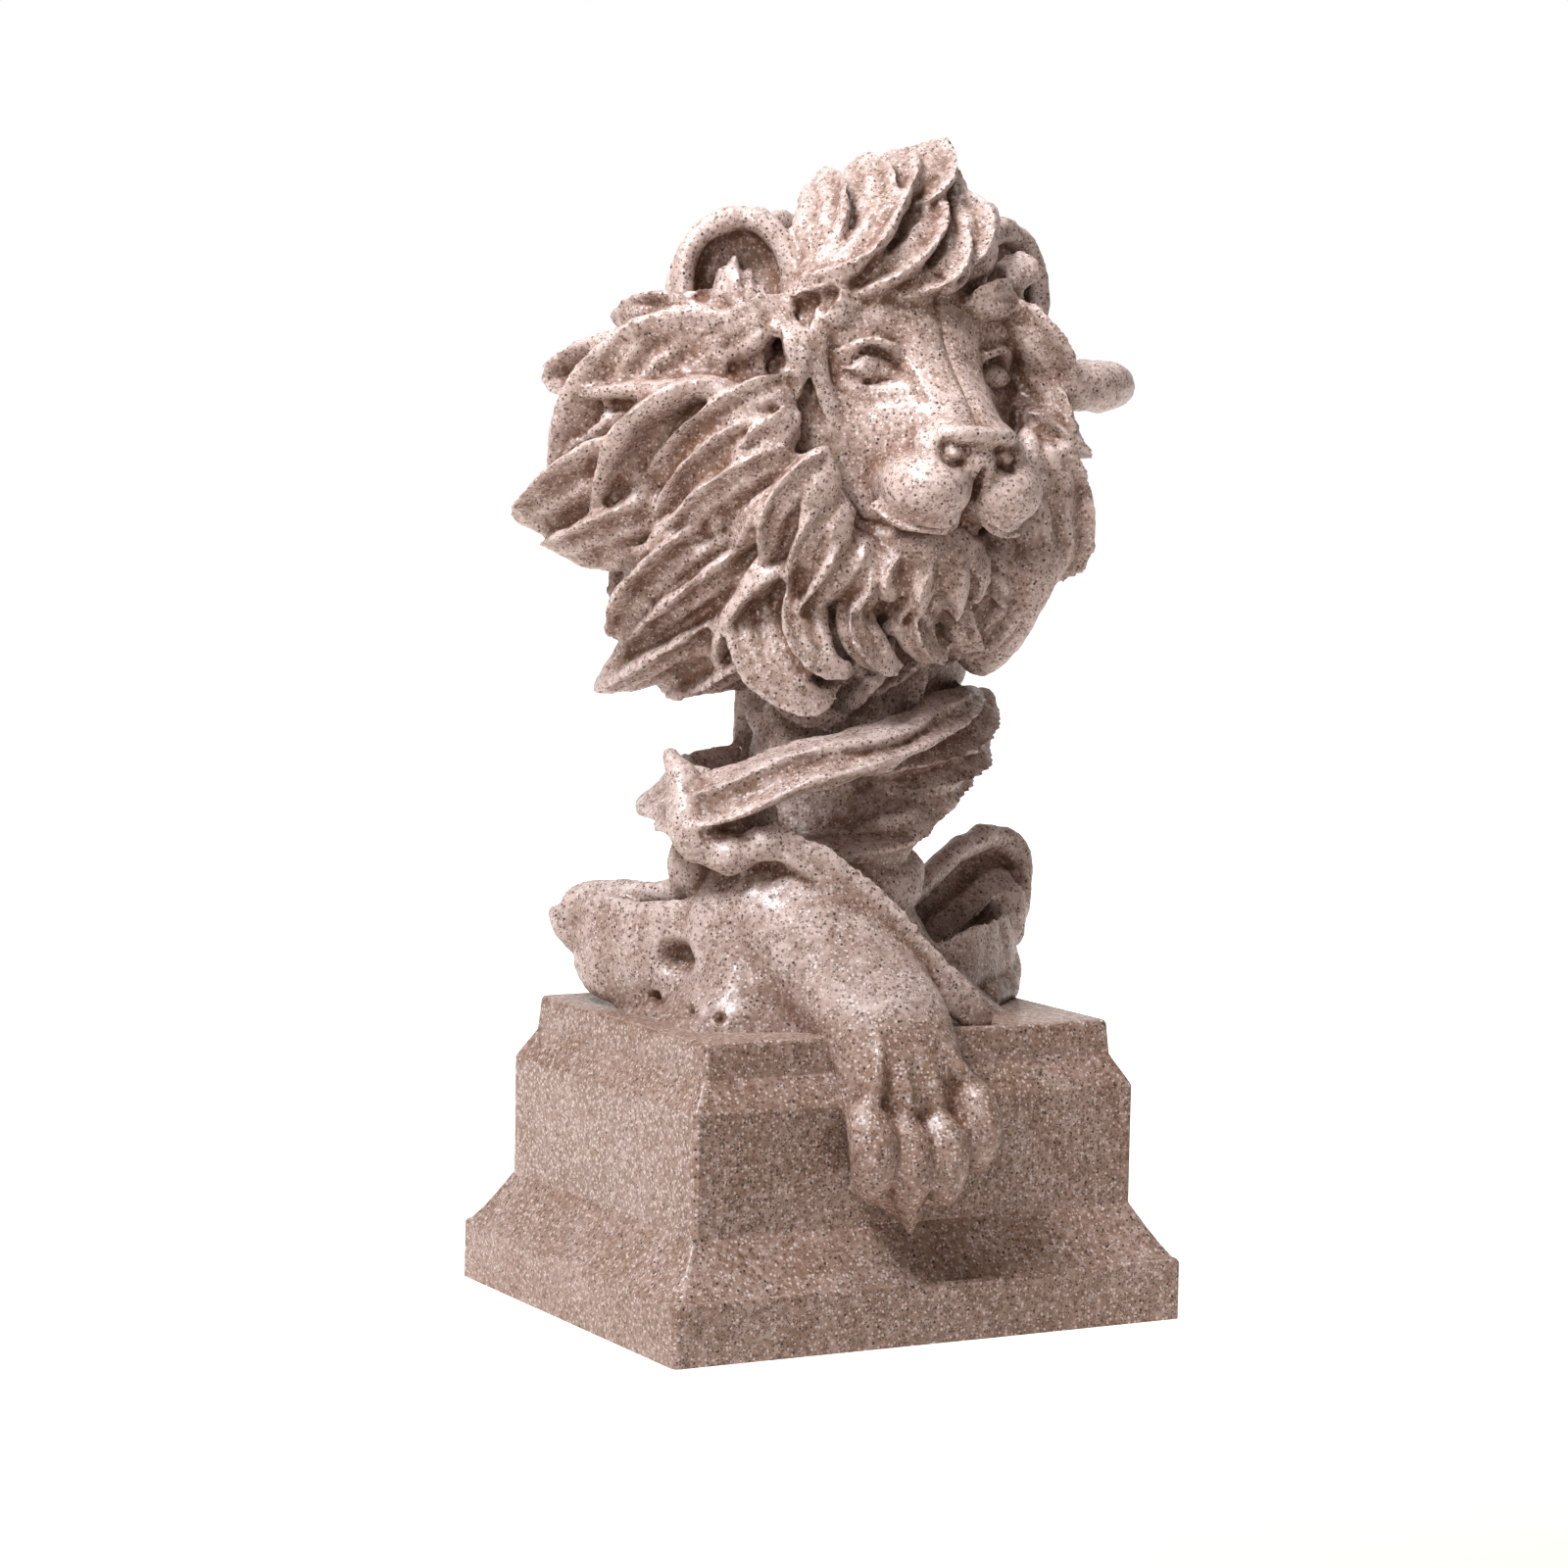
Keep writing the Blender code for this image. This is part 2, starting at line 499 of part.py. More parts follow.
def body_masses():
    trunk = [(0, 3, 4), (-1, 2, 17), (2, 2, 31), (7, 3, 50)]
    yield drawn(trunk, 10.5, 9.5, (0, 60, 30), ROUND, (1.2, 0.95, 0.9, 0.85, 0.95))
    yield skirt, 40, 56
    yield blob((-10.5, -5.0, 8.0), (9.5, 8.0, 11.5))
    yield blob((-14.0, -4.6, 22.4), (5.0, 5.0, 4.6))
    yield blob((-15.6, 1.6, 17.0), (3.4, 4.0, 4.2))
    yield blob((27.6, 6.0, 9.0), (3.8, 3.0, 4.8))
    wing = [(-9, -6, 7), (-16.5, -3, 6.6), (-20.6, 4, 6.4), (-22.8, 10.5, 6.8), (-23.8, 16, 7.8)]
    yield drawn(wing, 7.8, 4.6, (6, 14, 8), LEAF, (0.9, 1.0, 0.95, 0.85, 0.62), rings=32, segments=28)


def post():
    """The plain upright behind the neck that carries the mane."""
    yield drawn(
        [(-1.5, 11.5, -2), (-1.5, 11.5, 30), (-1.5, 11.5, 56)], 3.8, 3.8, (-1.5, 60, 30), ROUND,
        (1, 1),
    )


def drapery():
    collar = [
        (-19.0, 2.0, 23.6), (-19.8, -4.4, 24.2), (-15.8, -8.8, 26.0), (-10, -11.2, 28.8),
        (-2.5, -11.8, 30.4), (7, -9.0, 32.6), (14, -5.6, 34.8), (20.0, 0.0, 36.8),
    ]
    yield drawn(
        collar, 3.8, 3.6, BODY_HUB, BAND, (0.6, 0.9, 1.05, 0.95, 0.9, 0.8, 0.6, 0.35), rings=48,
        segments=36,
    )
    behind = [(-17.5, -5, 24), (-16, 8, 25), (-5, 14, 27), (11, 12, 32), (19.5, 2, 35.5)]
    yield drawn(behind, -4.4, 3.2, BODY_HUB, WAVE, (1.0, 1.0, 0.9, 0.8, 0.5), rings=32)
    for rise, deep in ((1.6, 0.9), (-1.4, 1.1)):
        fold = [
            (-17.0, -8.8, 25.6 + rise), (-9, -12.6, 28.6 + rise * 1.2), (0, -13.4, 30.6 + rise),
            (8, -10.6, 33.4 + rise * 0.5),
        ]
        yield drawn(fold, 0.9, deep, BODY_HUB, WAVE, (0.4, 1.0, 0.8, 1.1, 0.3))
    horn = [(-18.8, -7.8, 19.0), (-20.8, -6.2, 22.8), (-20.4, -4.4, 26.8), (-21.5, -1.6, 30.6)]
    yield drawn(horn, 2.6, 2.6, (-12, 2, 24), ROUND, (0.9, 1.1, 0.8, 0.7, 0.25))
    hem = [
        (-20.6, -5.6, 22.4), (-19.8, -7.4, 20.0), (-17.4, -9.6, 19.3), (-14.8, -11.2, 20.2),
        (-12.6, -12.0, 22.0),
    ]
    yield drawn(hem, 2.0, 2.0, (-6, 0, 24), ROUND, (0.8, 1.15, 0.85, 1.2, 0.9, 1.1, 0.5), rings=32)
    pleats = (((1, -7, 28), (23.0, 0.5, 35.2), 2.0), ((2, -6.5, 26.5), (22.2, 1.0, 31.0), 2.1),
              ((1, -7, 24.5), (18.4, 0, 28.6), 2.1), ((0, -7, 23), (13.4, -3.4, 26.4), 2.1),
              ((-1, -7.5, 21), (7.8, -6.6, 24.2), 2.1))
    for root, tip, width in pleats:
        bend = 0.5 * (np.array(tip) + root) + np.array((2.0, -2.6, -0.8))
        yield drawn([root, bend, tip], width, 2.4, (2, 5, 26), WAVE, (0.6, 0.9, 1, 0.9, 0.35), flutes=1.5)
    for tip in ((10.5, -5.0, 36.0), (23, 0.5, 36.0)):
        yield drawn([(6, 0, 32), (14, -1.5, 34), tip], 2.2, 2.0, (6, 6, 28), WAVE, (1, 1, 0.9, 0.5))
    flap = [(-6, -8.0, 19.0), (2, -9.6, 20.0), (8.8, -8.4, 22.6)]
    yield drawn(flap, 3.0, 2.4, (0, 4, 10), WAVE, (0.8, 1.0, 0.9, 0.3))
    waist = [(-2, -7, 12), (3, -8.4, 14.5), (8.0, -6.0, 17.6)]
    yield drawn(waist, 3.9, 3.2, (0, 4, 8), ROUND, (0.8, 1.0, 1.0, 0.6))
    strap = [
        (-15.5, -10.8, 21.8), (-9, -13.8, 18.6), (-2.4, -16.0, 13.2), (2.6, -17.8, 7.6),
        (7.0, -18.8, 3.0), (11.6, -19.0, -0.8),
    ]
    yield drawn(strap, -2.0, 2.0, (2, 8, -6), WAVE, (0.8, 1, 1, 1, 1.1, 0.7), rings=40)


def fins():
    """The ragged edges of the drapery, which stand out over the plinth's corners."""
    left_edge = [
        (-11, -4, 15.5), (-17.0, 3.5, 13.6), (-20.8, 9.5, 12.8), (-22.4, 13.4, 12.4),
        (-24.2, 17.0, 10.4),
    ]
    yield drawn(left_edge, 1.7, 1.7, (-10, 12, 0), ROUND, (0.8, 1.1, 0.85, 1.15, 1.0, 1.35, 1.2), rings=36)
    for rise, turn in ((9.6, 0.0), (6.0, 1.4)):
        ridge = [
            (-11, -9.5 + turn, rise - 2.0), (-17.2, -4.6 + turn, rise),
            (-21.4, 3.0 + turn, rise - 0.6), (-23.4, 10.5, rise - 1.0),
        ]
        yield drawn(ridge, 1.5, 1.2, (-8, 14, 4), WAVE, (0.3, 1.0, 0.8, 1.0, 0.3), rings=30)
    left_tip = [(-24.4, 17.0, 11.0), (-24.2, 16.6, 8.6), (-22.8, 15.4, 5.8)]
    yield drawn(left_tip, 2.2, 2.2, (-10, 12, 4), ROUND, (1, 1, 0.7))
    front = [(10, -8, 2.5), (16, -6.0, 3.6), (22.4, -2.0, 5.0), (27.6, 3.0, 7.0)]
    yield drawn(front, 6.0, 2.4, (16, 18, 6), LEAF, (0.9, 1.0, 0.95, 0.8, 0.5), rings=32, segments=28)
    leaf = [(9, 1, 5.0), (15, 4.2, 8.0), (21.4, 6.6, 11.0), (27.2, 8.4, 13.0), (31.2, 9.0, 12.0)]
    yield drawn(leaf, 5.2, 3.2, (16, 30, 6), LEAF, (0.7, 0.95, 1.0, 0.85, 0.4), rings=32, segments=28)
    rib = [(12, 0.4, 4.5), (18, 2.4, 8.5), (24.6, 5.0, 12.2), (29.6, 7.4, 14.2)]
    yield drawn(rib, 1.7, 2.0, (16, 30, 6), WAVE, (0.5, 1.0, 1.0, 0.9, 0.4), rings=28)
    right_edge = [
        (9.6, -2.6, 11.8), (14.0, 0.4, 14.2), (20.4, 4.2, 17.0), (27.4, 7.6, 18.2),
        (31.6, 8.6, 15.4), (30.6, 6.4, 10.2), (28.4, 4.6, 5.0),
    ]
    yield drawn(right_edge, 1.4, 1.6, (14, 12, 0), ROUND, (0.7, 1, 1.1, 1, 1.1, 0.9, 0.8), rings=40)
    right_foot = [(27.4, 4.4, 4.5), (25, 0.5, 1.5), (18, -7, 0.8)]
    yield drawn(right_foot, 2.0, 2.0, (12, 6, 0), ROUND, (0.8, 1, 0.7))


# The foreleg, which hangs over the front of the plinth

TOES = 4
TOE_PITCH = 4.5
TOE_MIDDLE = -2.3
# Height of each knuckle above the toes' level, and half width of each toe
TOE_ROWS = ((0.4, 2.6), (-1.2, 2.2), (-0.9, 2.3), (2.4, 2.2))
KNUCKLES = -11.0


def leg_masses(cap_front, die_front):
    wrist = -(cap_front + 0.8)
    paw_front = -(die_front + 1.2)
    leg = [(-11, -5, 17.5), (-8, -11.5, 12), (-5.0, -16.5, 5.6), (-3.0, wrist, -1), (-2.3, paw_front, -11)]
    yield drawn(leg, 8.0, 4.8, (0, 30, -10), ROUND, (1.0, 1.05, 1.0, 0.95, 1.0), rings=32)


def paw(cap_front, die_front):
    """Knuckles, tendons, pads and a claw."""
    wrist = -(cap_front + 2.2)
    front = -(die_front + 3.2)
    for toe, (drop, wide) in enumerate(TOE_ROWS):
        offset = toe - 0.5 * (TOES - 1)
        bulge = front - 1.6 + 0.35 * offset**2
        knuckle = np.array([TOE_MIDDLE + TOE_PITCH * offset, bulge, KNUCKLES + drop])
        steps = ((-0.3, 1.8, 3.6), (0, -0.9, 0.6), (0.2, -1.2, -2.6), (0.4, 0.6, -6.4))
        route = [knuckle + step for step in steps]
        yield drawn(route, wide, 2.5, knuckle + (0, 6, 0), ROUND, (0.7, 1.0, 1.08, 0.95, 0.55))
        tendon = [
            (-6 + toe * 2.0, -18.0, 7.5 - toe * 0.6), (-7.0 + toe * 2.7, wrist - 1.5, -0.8),
            knuckle + (0, -0.2, 2.6),
        ]
        yield drawn(tendon, 0.95, 1.6, knuckle + (0, 12, 0), ROUND, (0.3, 1.0, 0.85, 1.1, 0.8))
    for x, z, deep in ((-6.4, -16.4, 2.2), (-3.4, -17.4, 2.8), (0.8, -16.8, 2.6)):
        yield blob((x, front + 2.2, z), (2.6, 3.2, deep))
    claw = [(-4.2, front + 0.5, -17), (-3.3, front - 0.4, -19.2), (-2.4, front + 0.8, -22.0)]
    yield drawn(claw, 1.7, 1.7, (-4, 0, -17), ROUND, (1.0, 0.8, 0.2), rings=16, segments=14)


# Making the solid


def clear_scene():
    for obj in list(bpy.data.objects):
        bpy.data.objects.remove(obj, do_unlink=True)


def resin():
    """Pinkish beige cast resin."""
    material = bpy.data.materials.new("sandstone_resin")
    material.use_nodes = True
    surface = material.node_tree.nodes["Principled BSDF"]
    surface.inputs["Base Color"].default_value = COLOUR
    surface.inputs["Roughness"].default_value = ROUGHNESS
    surface.inputs["Metallic"].default_value = 0.0
    return material


def link(name, mesh):
    obj = bpy.data.objects.new(name, mesh)
    bpy.context.scene.collection.objects.link(obj)
    return obj


def ball(place, rings, segments):
    """One ball of clay, its points moved."""
    mesh = bmesh.new()
    bmesh.ops.create_uvsphere(mesh, u_segments=segments, v_segments=rings, radius=1.0)
    points = np.array([vert.co for vert in mesh.verts])
    for vert, moved in zip(mesh.verts, place(points) * UNIT + (0.0, 0.0, PLINTH_HEIGHT)):
        vert.co = moved
    data = bpy.data.meshes.new("ball")
    mesh.to_mesh(data)
    mesh.free()
    return data


def clay(name, forms, found=()):
    """A mesh of one ball for each form, with the meshes found added."""
    mesh = bmesh.new()
    for form in forms:
        shape = ball(*form)
        mesh.from_mesh(shape)
        bpy.data.meshes.remove(shape)
    for found_mesh in found:
        mesh.from_mesh(found_mesh)
    data = bpy.data.meshes.new(name)
    mesh.to_mesh(data)
    mesh.free()
    return link(name, data)


def add_fuse(obj, grain, rounds):
    """Modifiers that fuse overlapping clay into one skin and smooth it."""
    remesh = obj.modifiers.new("Fuse", "REMESH")
    remesh.mode = "VOXEL"
    remesh.voxel_size = grain * UNIT
    smooth = obj.modifiers.new("Soften", "SMOOTH")
    smooth.factor = 0.5
    smooth.iterations = rounds


def evaluated(obj):
    graph = bpy.context.evaluated_depsgraph_get()
    return bpy.data.meshes.new_from_object(obj.evaluated_get(graph))


def plinth_profile():
    """Insets from the base's edge and heights, from the underside up to the top."""
    die_bottom = BASE_HEIGHT + SLOPE_HEIGHT
    die_top = die_bottom + DIE_HEIGHT
    cap_bottom = die_top + SHOULDER_HEIGHT
    cap_top = cap_bottom + CAP_HEIGHT
    cap_inset = DIE_INSET + SHOULDER_INSET
    top_inset = cap_inset + CAP_TAPER
    yield 0.0, 0.0
    yield 0.0, BASE_HEIGHT - ARRIS
    yield ARRIS * 0.3, BASE_HEIGHT - ARRIS * 0.3
    yield ARRIS, BASE_HEIGHT
    yield ARRIS + (DIE_INSET - ARRIS) * 0.6, BASE_HEIGHT + SLOPE_HEIGHT * 0.55
    yield DIE_INSET, die_bottom
    yield DIE_INSET, die_top - ARRIS
    yield DIE_INSET + ARRIS * 0.3, die_top - ARRIS * 0.2
    yield DIE_INSET + SHOULDER_INSET * 0.6, die_top + SHOULDER_HEIGHT * 0.55
    yield cap_inset, cap_bottom
    yield top_inset, cap_top - ARRIS
    yield top_inset + ARRIS * 0.3, cap_top - ARRIS * 0.3
    yield top_inset + ARRIS, cap_top


def rounded_ring(width, depth, radius, steps=2):
    """Corner points of a rectangle with rounded corners, anticlockwise from above."""
    for corner, (side_x, side_y) in enumerate(((1, 1), (-1, 1), (-1, -1), (1, -1))):
        for step in range(steps + 1):
            turn = math.pi / 2 * (corner + step / steps)
            yield (
                side_x * (width / 2 - radius) + radius * math.cos(turn),
                side_y * (depth / 2 - radius) + radius * math.sin(turn),
            )


def make_plinth():
    """The moulded block, one ring of points for each step of its profile."""
    mesh = bmesh.new()
    rings = []
    for inset, height in plinth_profile():
        outline = rounded_ring(BASE_WIDTH - 2 * inset, BASE_DEPTH - 2 * inset, CORNER_RADIUS)
        rings.append([mesh.verts.new((x, y, height)) for x, y in outline])
    for lower, upper in zip(rings, rings[1:]):
        for k in range(len(lower)):
            after = (k + 1) % len(lower)
            mesh.faces.new((lower[k], lower[after], upper[after], upper[k]))
    mesh.faces.new(rings[0][::-1])
    mesh.faces.new(rings[-1])
    data = bpy.data.meshes.new("plinth_form")
    mesh.to_mesh(data)
    mesh.free()
    obj = link("plinth_form", data)
    obj.hide_render = True
    obj.display_type = "WIRE"
    return obj


def make_figure():
    """Smooth flesh under crisp hair and cloth, fused into one skin."""
    soft = [*head_masses(), *mane_masses(), *body_masses(), *leg_masses(CAP_FRONT, DIE_FRONT)]
    flesh = clay("flesh", soft)
    add_fuse(flesh, FLESH_GRAIN, FLESH_ROUNDS)
    flesh_mesh = evaluated(flesh)
    bpy.data.objects.remove(flesh, do_unlink=True)
    crisp = [
        *head_details(), *ear(-1), *ear(1), *mane_locks(), *throat_locks(), *back_locks(),
        *post(), *drapery(), *fins(), *paw(CAP_FRONT, DIE_FRONT),
    ]
    figure = clay("lion_head_sculpture", crisp, [flesh_mesh])
    add_fuse(figure, SKIN_GRAIN, SKIN_ROUNDS)
    return figure


def join_plinth(figure, plinth):
    """Thins the figure's faces and joins the plinth to it."""
    triangles = sum(len(facet.vertices) - 2 for facet in evaluated(figure).polygons)
    thin = figure.modifiers.new("Thin", "DECIMATE")
    thin.ratio = min(1.0, KEPT_TRIANGLES / triangles)
    join = figure.modifiers.new("Join plinth", "BOOLEAN")
    join.operation = "UNION"
    join.object = plinth


def main():
    clear_scene()
    plinth = make_plinth()
    figure = make_figure()
    figure.data.materials.append(resin())
    join_plinth(figure, plinth)


if __name__ == "__main__":
    main()
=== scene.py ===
"""The lion head sculpture, dressed for its picture: a lion's head with a wind-blown mane, a
twist of drapery and a foreleg over the front of a moulded plinth, cast in speckled resin.

The figure is modelled from balls of clay whose points are moved, fused, smoothed and carved,
and is then joined to its plinth. Its forms are in figure units, each one ninety-ninth of the
figure's height, with x to the viewer's right, y to the back and z up from the plinth's top."""

import math

import bpy
import numpy as np
from bpy.props import FloatProperty, FloatVectorProperty, IntProperty, PointerProperty
from mathutils import Matrix, Vector


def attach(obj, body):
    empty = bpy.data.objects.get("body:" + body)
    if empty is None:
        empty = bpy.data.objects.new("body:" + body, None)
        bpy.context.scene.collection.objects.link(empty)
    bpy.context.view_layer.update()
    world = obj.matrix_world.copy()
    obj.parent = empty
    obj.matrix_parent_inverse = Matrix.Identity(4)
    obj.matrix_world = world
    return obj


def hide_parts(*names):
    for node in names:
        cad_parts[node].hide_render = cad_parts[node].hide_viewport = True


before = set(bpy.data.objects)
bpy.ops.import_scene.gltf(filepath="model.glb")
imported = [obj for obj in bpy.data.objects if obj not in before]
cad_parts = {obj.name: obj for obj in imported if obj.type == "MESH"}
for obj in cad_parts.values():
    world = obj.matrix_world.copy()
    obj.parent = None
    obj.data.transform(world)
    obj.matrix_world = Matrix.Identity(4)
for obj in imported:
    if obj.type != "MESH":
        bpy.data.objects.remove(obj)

bl_info = {
    "name": "Lion Head Sculpture",
    "version": (1, 0),
    "blender": (4, 5, 0),
    "location": "View3D > Sidebar > Lion Head",
    "description": "Models, casts and lights the lion head sculpture",
    "category": "Object",
}

NODE = "lion_head_sculpture"
CAST = "lion_head_cast"
FIGURE_UNITS = 99.0


class LionSizes(bpy.types.PropertyGroup):
    """Lengths of the sculpture."""

    base_width: FloatProperty(
        name="Base width", description="Long side of the plinth's foot", default=0.065, unit="LENGTH"
    )
    base_depth: FloatProperty(
        name="Base depth", description="Short side of the plinth's foot", default=0.055, unit="LENGTH"
    )
    base_height: FloatProperty(
        name="Base height", description="Upright edge of the plinth's foot", default=0.007,
        unit="LENGTH",
    )
    slope_height: FloatProperty(
        name="Slope height", description="Sloping moulding above the foot", default=0.006, unit="LENGTH"
    )
    die_height: FloatProperty(
        name="Die height", description="Plain block of the plinth", default=0.014, unit="LENGTH"
    )
    shoulder_height: FloatProperty(
        name="Shoulder height", description="Sloping step under the cap", default=0.003, unit="LENGTH"
    )
    cap_height: FloatProperty(
        name="Cap height", description="Slab that carries the figure", default=0.004, unit="LENGTH"
    )
    die_inset: FloatProperty(
        name="Die inset", description="How far the die stands back from the foot", default=0.0043,
        unit="LENGTH",
    )
    shoulder_inset: FloatProperty(
        name="Shoulder inset", description="How far the cap stands back from the die",
        default=0.0019, unit="LENGTH",
    )
    cap_taper: FloatProperty(
        name="Cap taper", description="How far the cap leans in", default=0.0003, unit="LENGTH"
    )
    corner_radius: FloatProperty(
        name="Corner radius", description="Rounding of the plinth's corners", default=0.0006,
        unit="LENGTH",
    )
    arris: FloatProperty(
        name="Arris", description="Rounding of the plinth's level edges", default=0.0005, unit="LENGTH"
    )
    figure_height: FloatProperty(
        name="Figure height", description="From the plinth's top to the tip of the crest",
        default=0.099, unit="LENGTH",
    )
    clay_grain: FloatProperty(
        name="Clay grain", description="Size of the steps that the clay is fused in",
        default=0.00047, unit="LENGTH",
    )
    most_triangles: IntProperty(
        name="Most triangles", description="Triangles that the cast figure keeps", default=186000
    )

    def plinth_height(self):
        """From the underside to the top of the cap."""
        foot = self.base_height + self.slope_height
        return foot + self.die_height + self.shoulder_height + self.cap_height

    def unit(self):
        """Length of one figure unit."""
        return self.figure_height / FIGURE_UNITS

    def die_front(self):
        """How far ahead of its middle the die's front stands, in figure units."""
        return (self.base_depth / 2 - self.die_inset) / self.unit()

    def cap_front(self):
        """How far ahead of its middle the cap's front stands, in figure units."""
        return self.die_front() - self.shoulder_inset / self.unit()


class LionFinish(bpy.types.PropertyGroup):
    """Colours and grain of the resin, with painted shade and painted light among them."""

    stone: FloatVectorProperty(
        name="Stone", description="Body colour of the resin", subtype="COLOR",
        default=(0.28, 0.180, 0.132),
    )
    # Paler resin colour, used for the resin's own paler patches and also as painted light over the
    # whole figure.
    ridge: FloatVectorProperty(
        name="Ridge", description="Colour of the paler resin", subtype="COLOR",
        default=(0.40, 0.295, 0.255),
    )
    # Painted light: the figure above the height below is painted paler, and this pale colour is a
    # painted highlight on its ridges.
    painted_figure_light: FloatVectorProperty(
        name="Worn", description="Colour of the figure's worn edges", subtype="COLOR",
        default=(0.52, 0.41, 0.37),
    )
    painted_light_from: FloatProperty(
        name="Worn from", description="Height above which the resin is paler", default=0.0345,
        unit="LENGTH",
    )
    # Painted shade: this warm dark brown is painted into the figure's hollows, where shade falls.
    hollow: FloatVectorProperty(
        name="Hollow", description="Warm colour in the hollows", subtype="COLOR",
        default=(0.14, 0.055, 0.022),
    )
    pale_grain: FloatVectorProperty(
        name="Pale grain", description="Colour of the pale grains", subtype="COLOR",
        default=(0.66, 0.56, 0.53),
    )
    brown_grain: FloatVectorProperty(
        name="Brown grain", description="Colour of the brown grains", subtype="COLOR",
        default=(0.12, 0.065, 0.04),
    )
    dark_grain: FloatVectorProperty(
        name="Dark grain", description="Colour of the dark grains", subtype="COLOR",
        default=(0.03, 0.022, 0.02),
    )
    grain_size: FloatProperty(
        name="Grain size", description="Usual size of a grain", default=0.00042, unit="LENGTH"
    )
    roughness: FloatProperty(
        name="Roughness", description="Roughness of the resin", default=0.36, subtype="FACTOR"
    )


class LionStage(bpy.types.PropertyGroup):
    """The floor, the light and the camera."""

    floor_colour: FloatVectorProperty(
        name="Floor", description="Colour of the pale floor", subtype="COLOR",
        default=(0.62, 0.56, 0.51),
    )
    floor_glow: FloatProperty(
        name="Floor glow", description="Light that the floor gives off in front", default=0.12,
    )
    glow_start: FloatProperty(
        name="Glow start", description="How far behind the sculpture the floor starts to brighten",
        default=-0.12, unit="LENGTH",
    )
    glow_end: FloatProperty(
        name="Glow end", description="How far behind the sculpture the floor is white", default=0.06,
        unit="LENGTH",
    )
    key_power: FloatProperty(
        name="Key light", description="Power of the main light", default=5.8, unit="POWER",
    )
    key_colour: FloatVectorProperty(
        name="Key colour", description="Colour of the main light", subtype="COLOR",
        default=(0.88, 0.935, 1.0),
    )
    key_size: FloatProperty(
        name="Key size", description="Width of the main light", default=0.22, unit="LENGTH",
    )
    fill_power: FloatProperty(
        name="Fill light", description="Power of the fill light", default=0.3, unit="POWER",
    )
    fill_size: FloatProperty(
        name="Fill size", description="Width of the fill light", default=0.5, unit="LENGTH",
    )
    top_power: FloatProperty(
        name="Top light", description="Power of the light overhead", default=2.0, unit="POWER",
    )
    top_size: FloatProperty(
        name="Top size", description="Width of the light overhead", default=0.3, unit="LENGTH",
    )
    sky_colour: FloatVectorProperty(
        name="Sky colour", description="Colour of the light from in front", subtype="COLOR",
        default=(1.0, 0.86, 0.74),
    )
    face_power: FloatProperty(
        name="Face light", description="Power of the narrow light on the head", default=0.012,
        unit="POWER",
    )
    face_size: FloatProperty(
        name="Face light size", description="Width of the narrow light", default=0.05, unit="LENGTH",
    )
    face_spread: FloatProperty(
        name="Face light spread", description="Opening of the narrow light",
        default=math.radians(24.0), subtype="ANGLE",
    )
    sky_behind: FloatProperty(
        name="Sky behind", description="Light from behind the sculpture", default=1.0,
    )
    sky_front: FloatProperty(
        name="Sky in front", description="Light from in front of the sculpture", default=0.12,
    )
    film_gamma: FloatProperty(name="Film gamma", description="Contrast of the picture", default=0.85)
    camera_turn: FloatProperty(
        name="Camera turn", description="How far the camera stands to the left of the front",
        default=math.radians(29.13), subtype="ANGLE",
    )
    camera_height: FloatProperty(
        name="Camera height", description="Height of the camera", default=0.1046, unit="LENGTH"
    )
    camera_distance: FloatProperty(
        name="Camera distance", description="From the plinth's middle to the camera", default=0.5,
        unit="LENGTH",
    )
    focal_length: FloatProperty(
        name="Focal length", description="Focal length in millimetres", default=100.1
    )


# Forms: each is a rule that moves a ball's points, and the ball's rings and segments

WORLD = np.eye(3)
# Sections, as (aside, outward) points round a form that is drawn along a route
ROUND = None
WAVE = np.array([
    (-1.0, 0.0), (-0.6, 0.24), (-0.1, 0.52), (0.35, 0.8), (0.68, 1.0), (0.8, 0.92),
    (0.66, 0.52), (0.72, 0.12), (1.0, -0.15), (0.7, -0.8), (0.0, -1.0), (-0.7, -0.7),
])
LEAF = np.array([
    (-1.0, 0.25), (-0.5, 0.42), (0.0, 0.5), (0.5, 0.42), (1.0, 0.25),
    (0.9, 0.0), (0.5, -0.25), (0.0, -0.35), (-0.5, -0.25), (-0.9, 0.0),
])
CUP = np.array([
    (-1.0, 0.75), (-0.8, 0.95), (-0.62, 0.7), (-0.3, 0.25), (0.0, 0.12), (0.3, 0.25), (0.62, 0.7),
    (0.8, 0.95), (1.0, 0.75), (0.9, 0.0), (0.5, -0.55), (0.0, -0.7), (-0.5, -0.55), (-0.9, 0.0),
])
BAND = np.array([
    (-1.0, -0.1), (-0.6, 0.35), (-0.28, 0.75), (-0.1, 0.95), (0.0, 0.62), (0.35, 0.56),
    (0.7, 0.8), (0.95, 1.0), (1.0, 0.8), (0.8, 0.3), (0.6, -0.5), (0.0, -0.9), (-0.7, -0.6),
])
LOCK_GIRTH = (0.55, 0.85, 1.0, 0.95, 0.75, 0.45, 0.08)
LOCK_RISE = (0.3, 0.8, 1.0, 1.0, 0.8, 0.5, 0.1)
BLUNT_GIRTH = (0.6, 0.9, 1.0, 1.0, 1.0, 0.9, 0.7)
FLUTE_DEPTH = 0.16
# Share of the way round a section, from its first point, that carries flutes
FLUTED_TURN = 0.36


def unit(vectors):
    return vectors / np.maximum(np.linalg.norm(vectors, axis=-1, keepdims=True), 1e-9)


def blob(centre, radii, axes=WORLD, rings=20, segments=20):
    """An ellipsoid, its radii along the three axes."""

    def place(points):
        return np.array(centre) + (points * radii) @ np.array(axes)

    return place, rings, segments


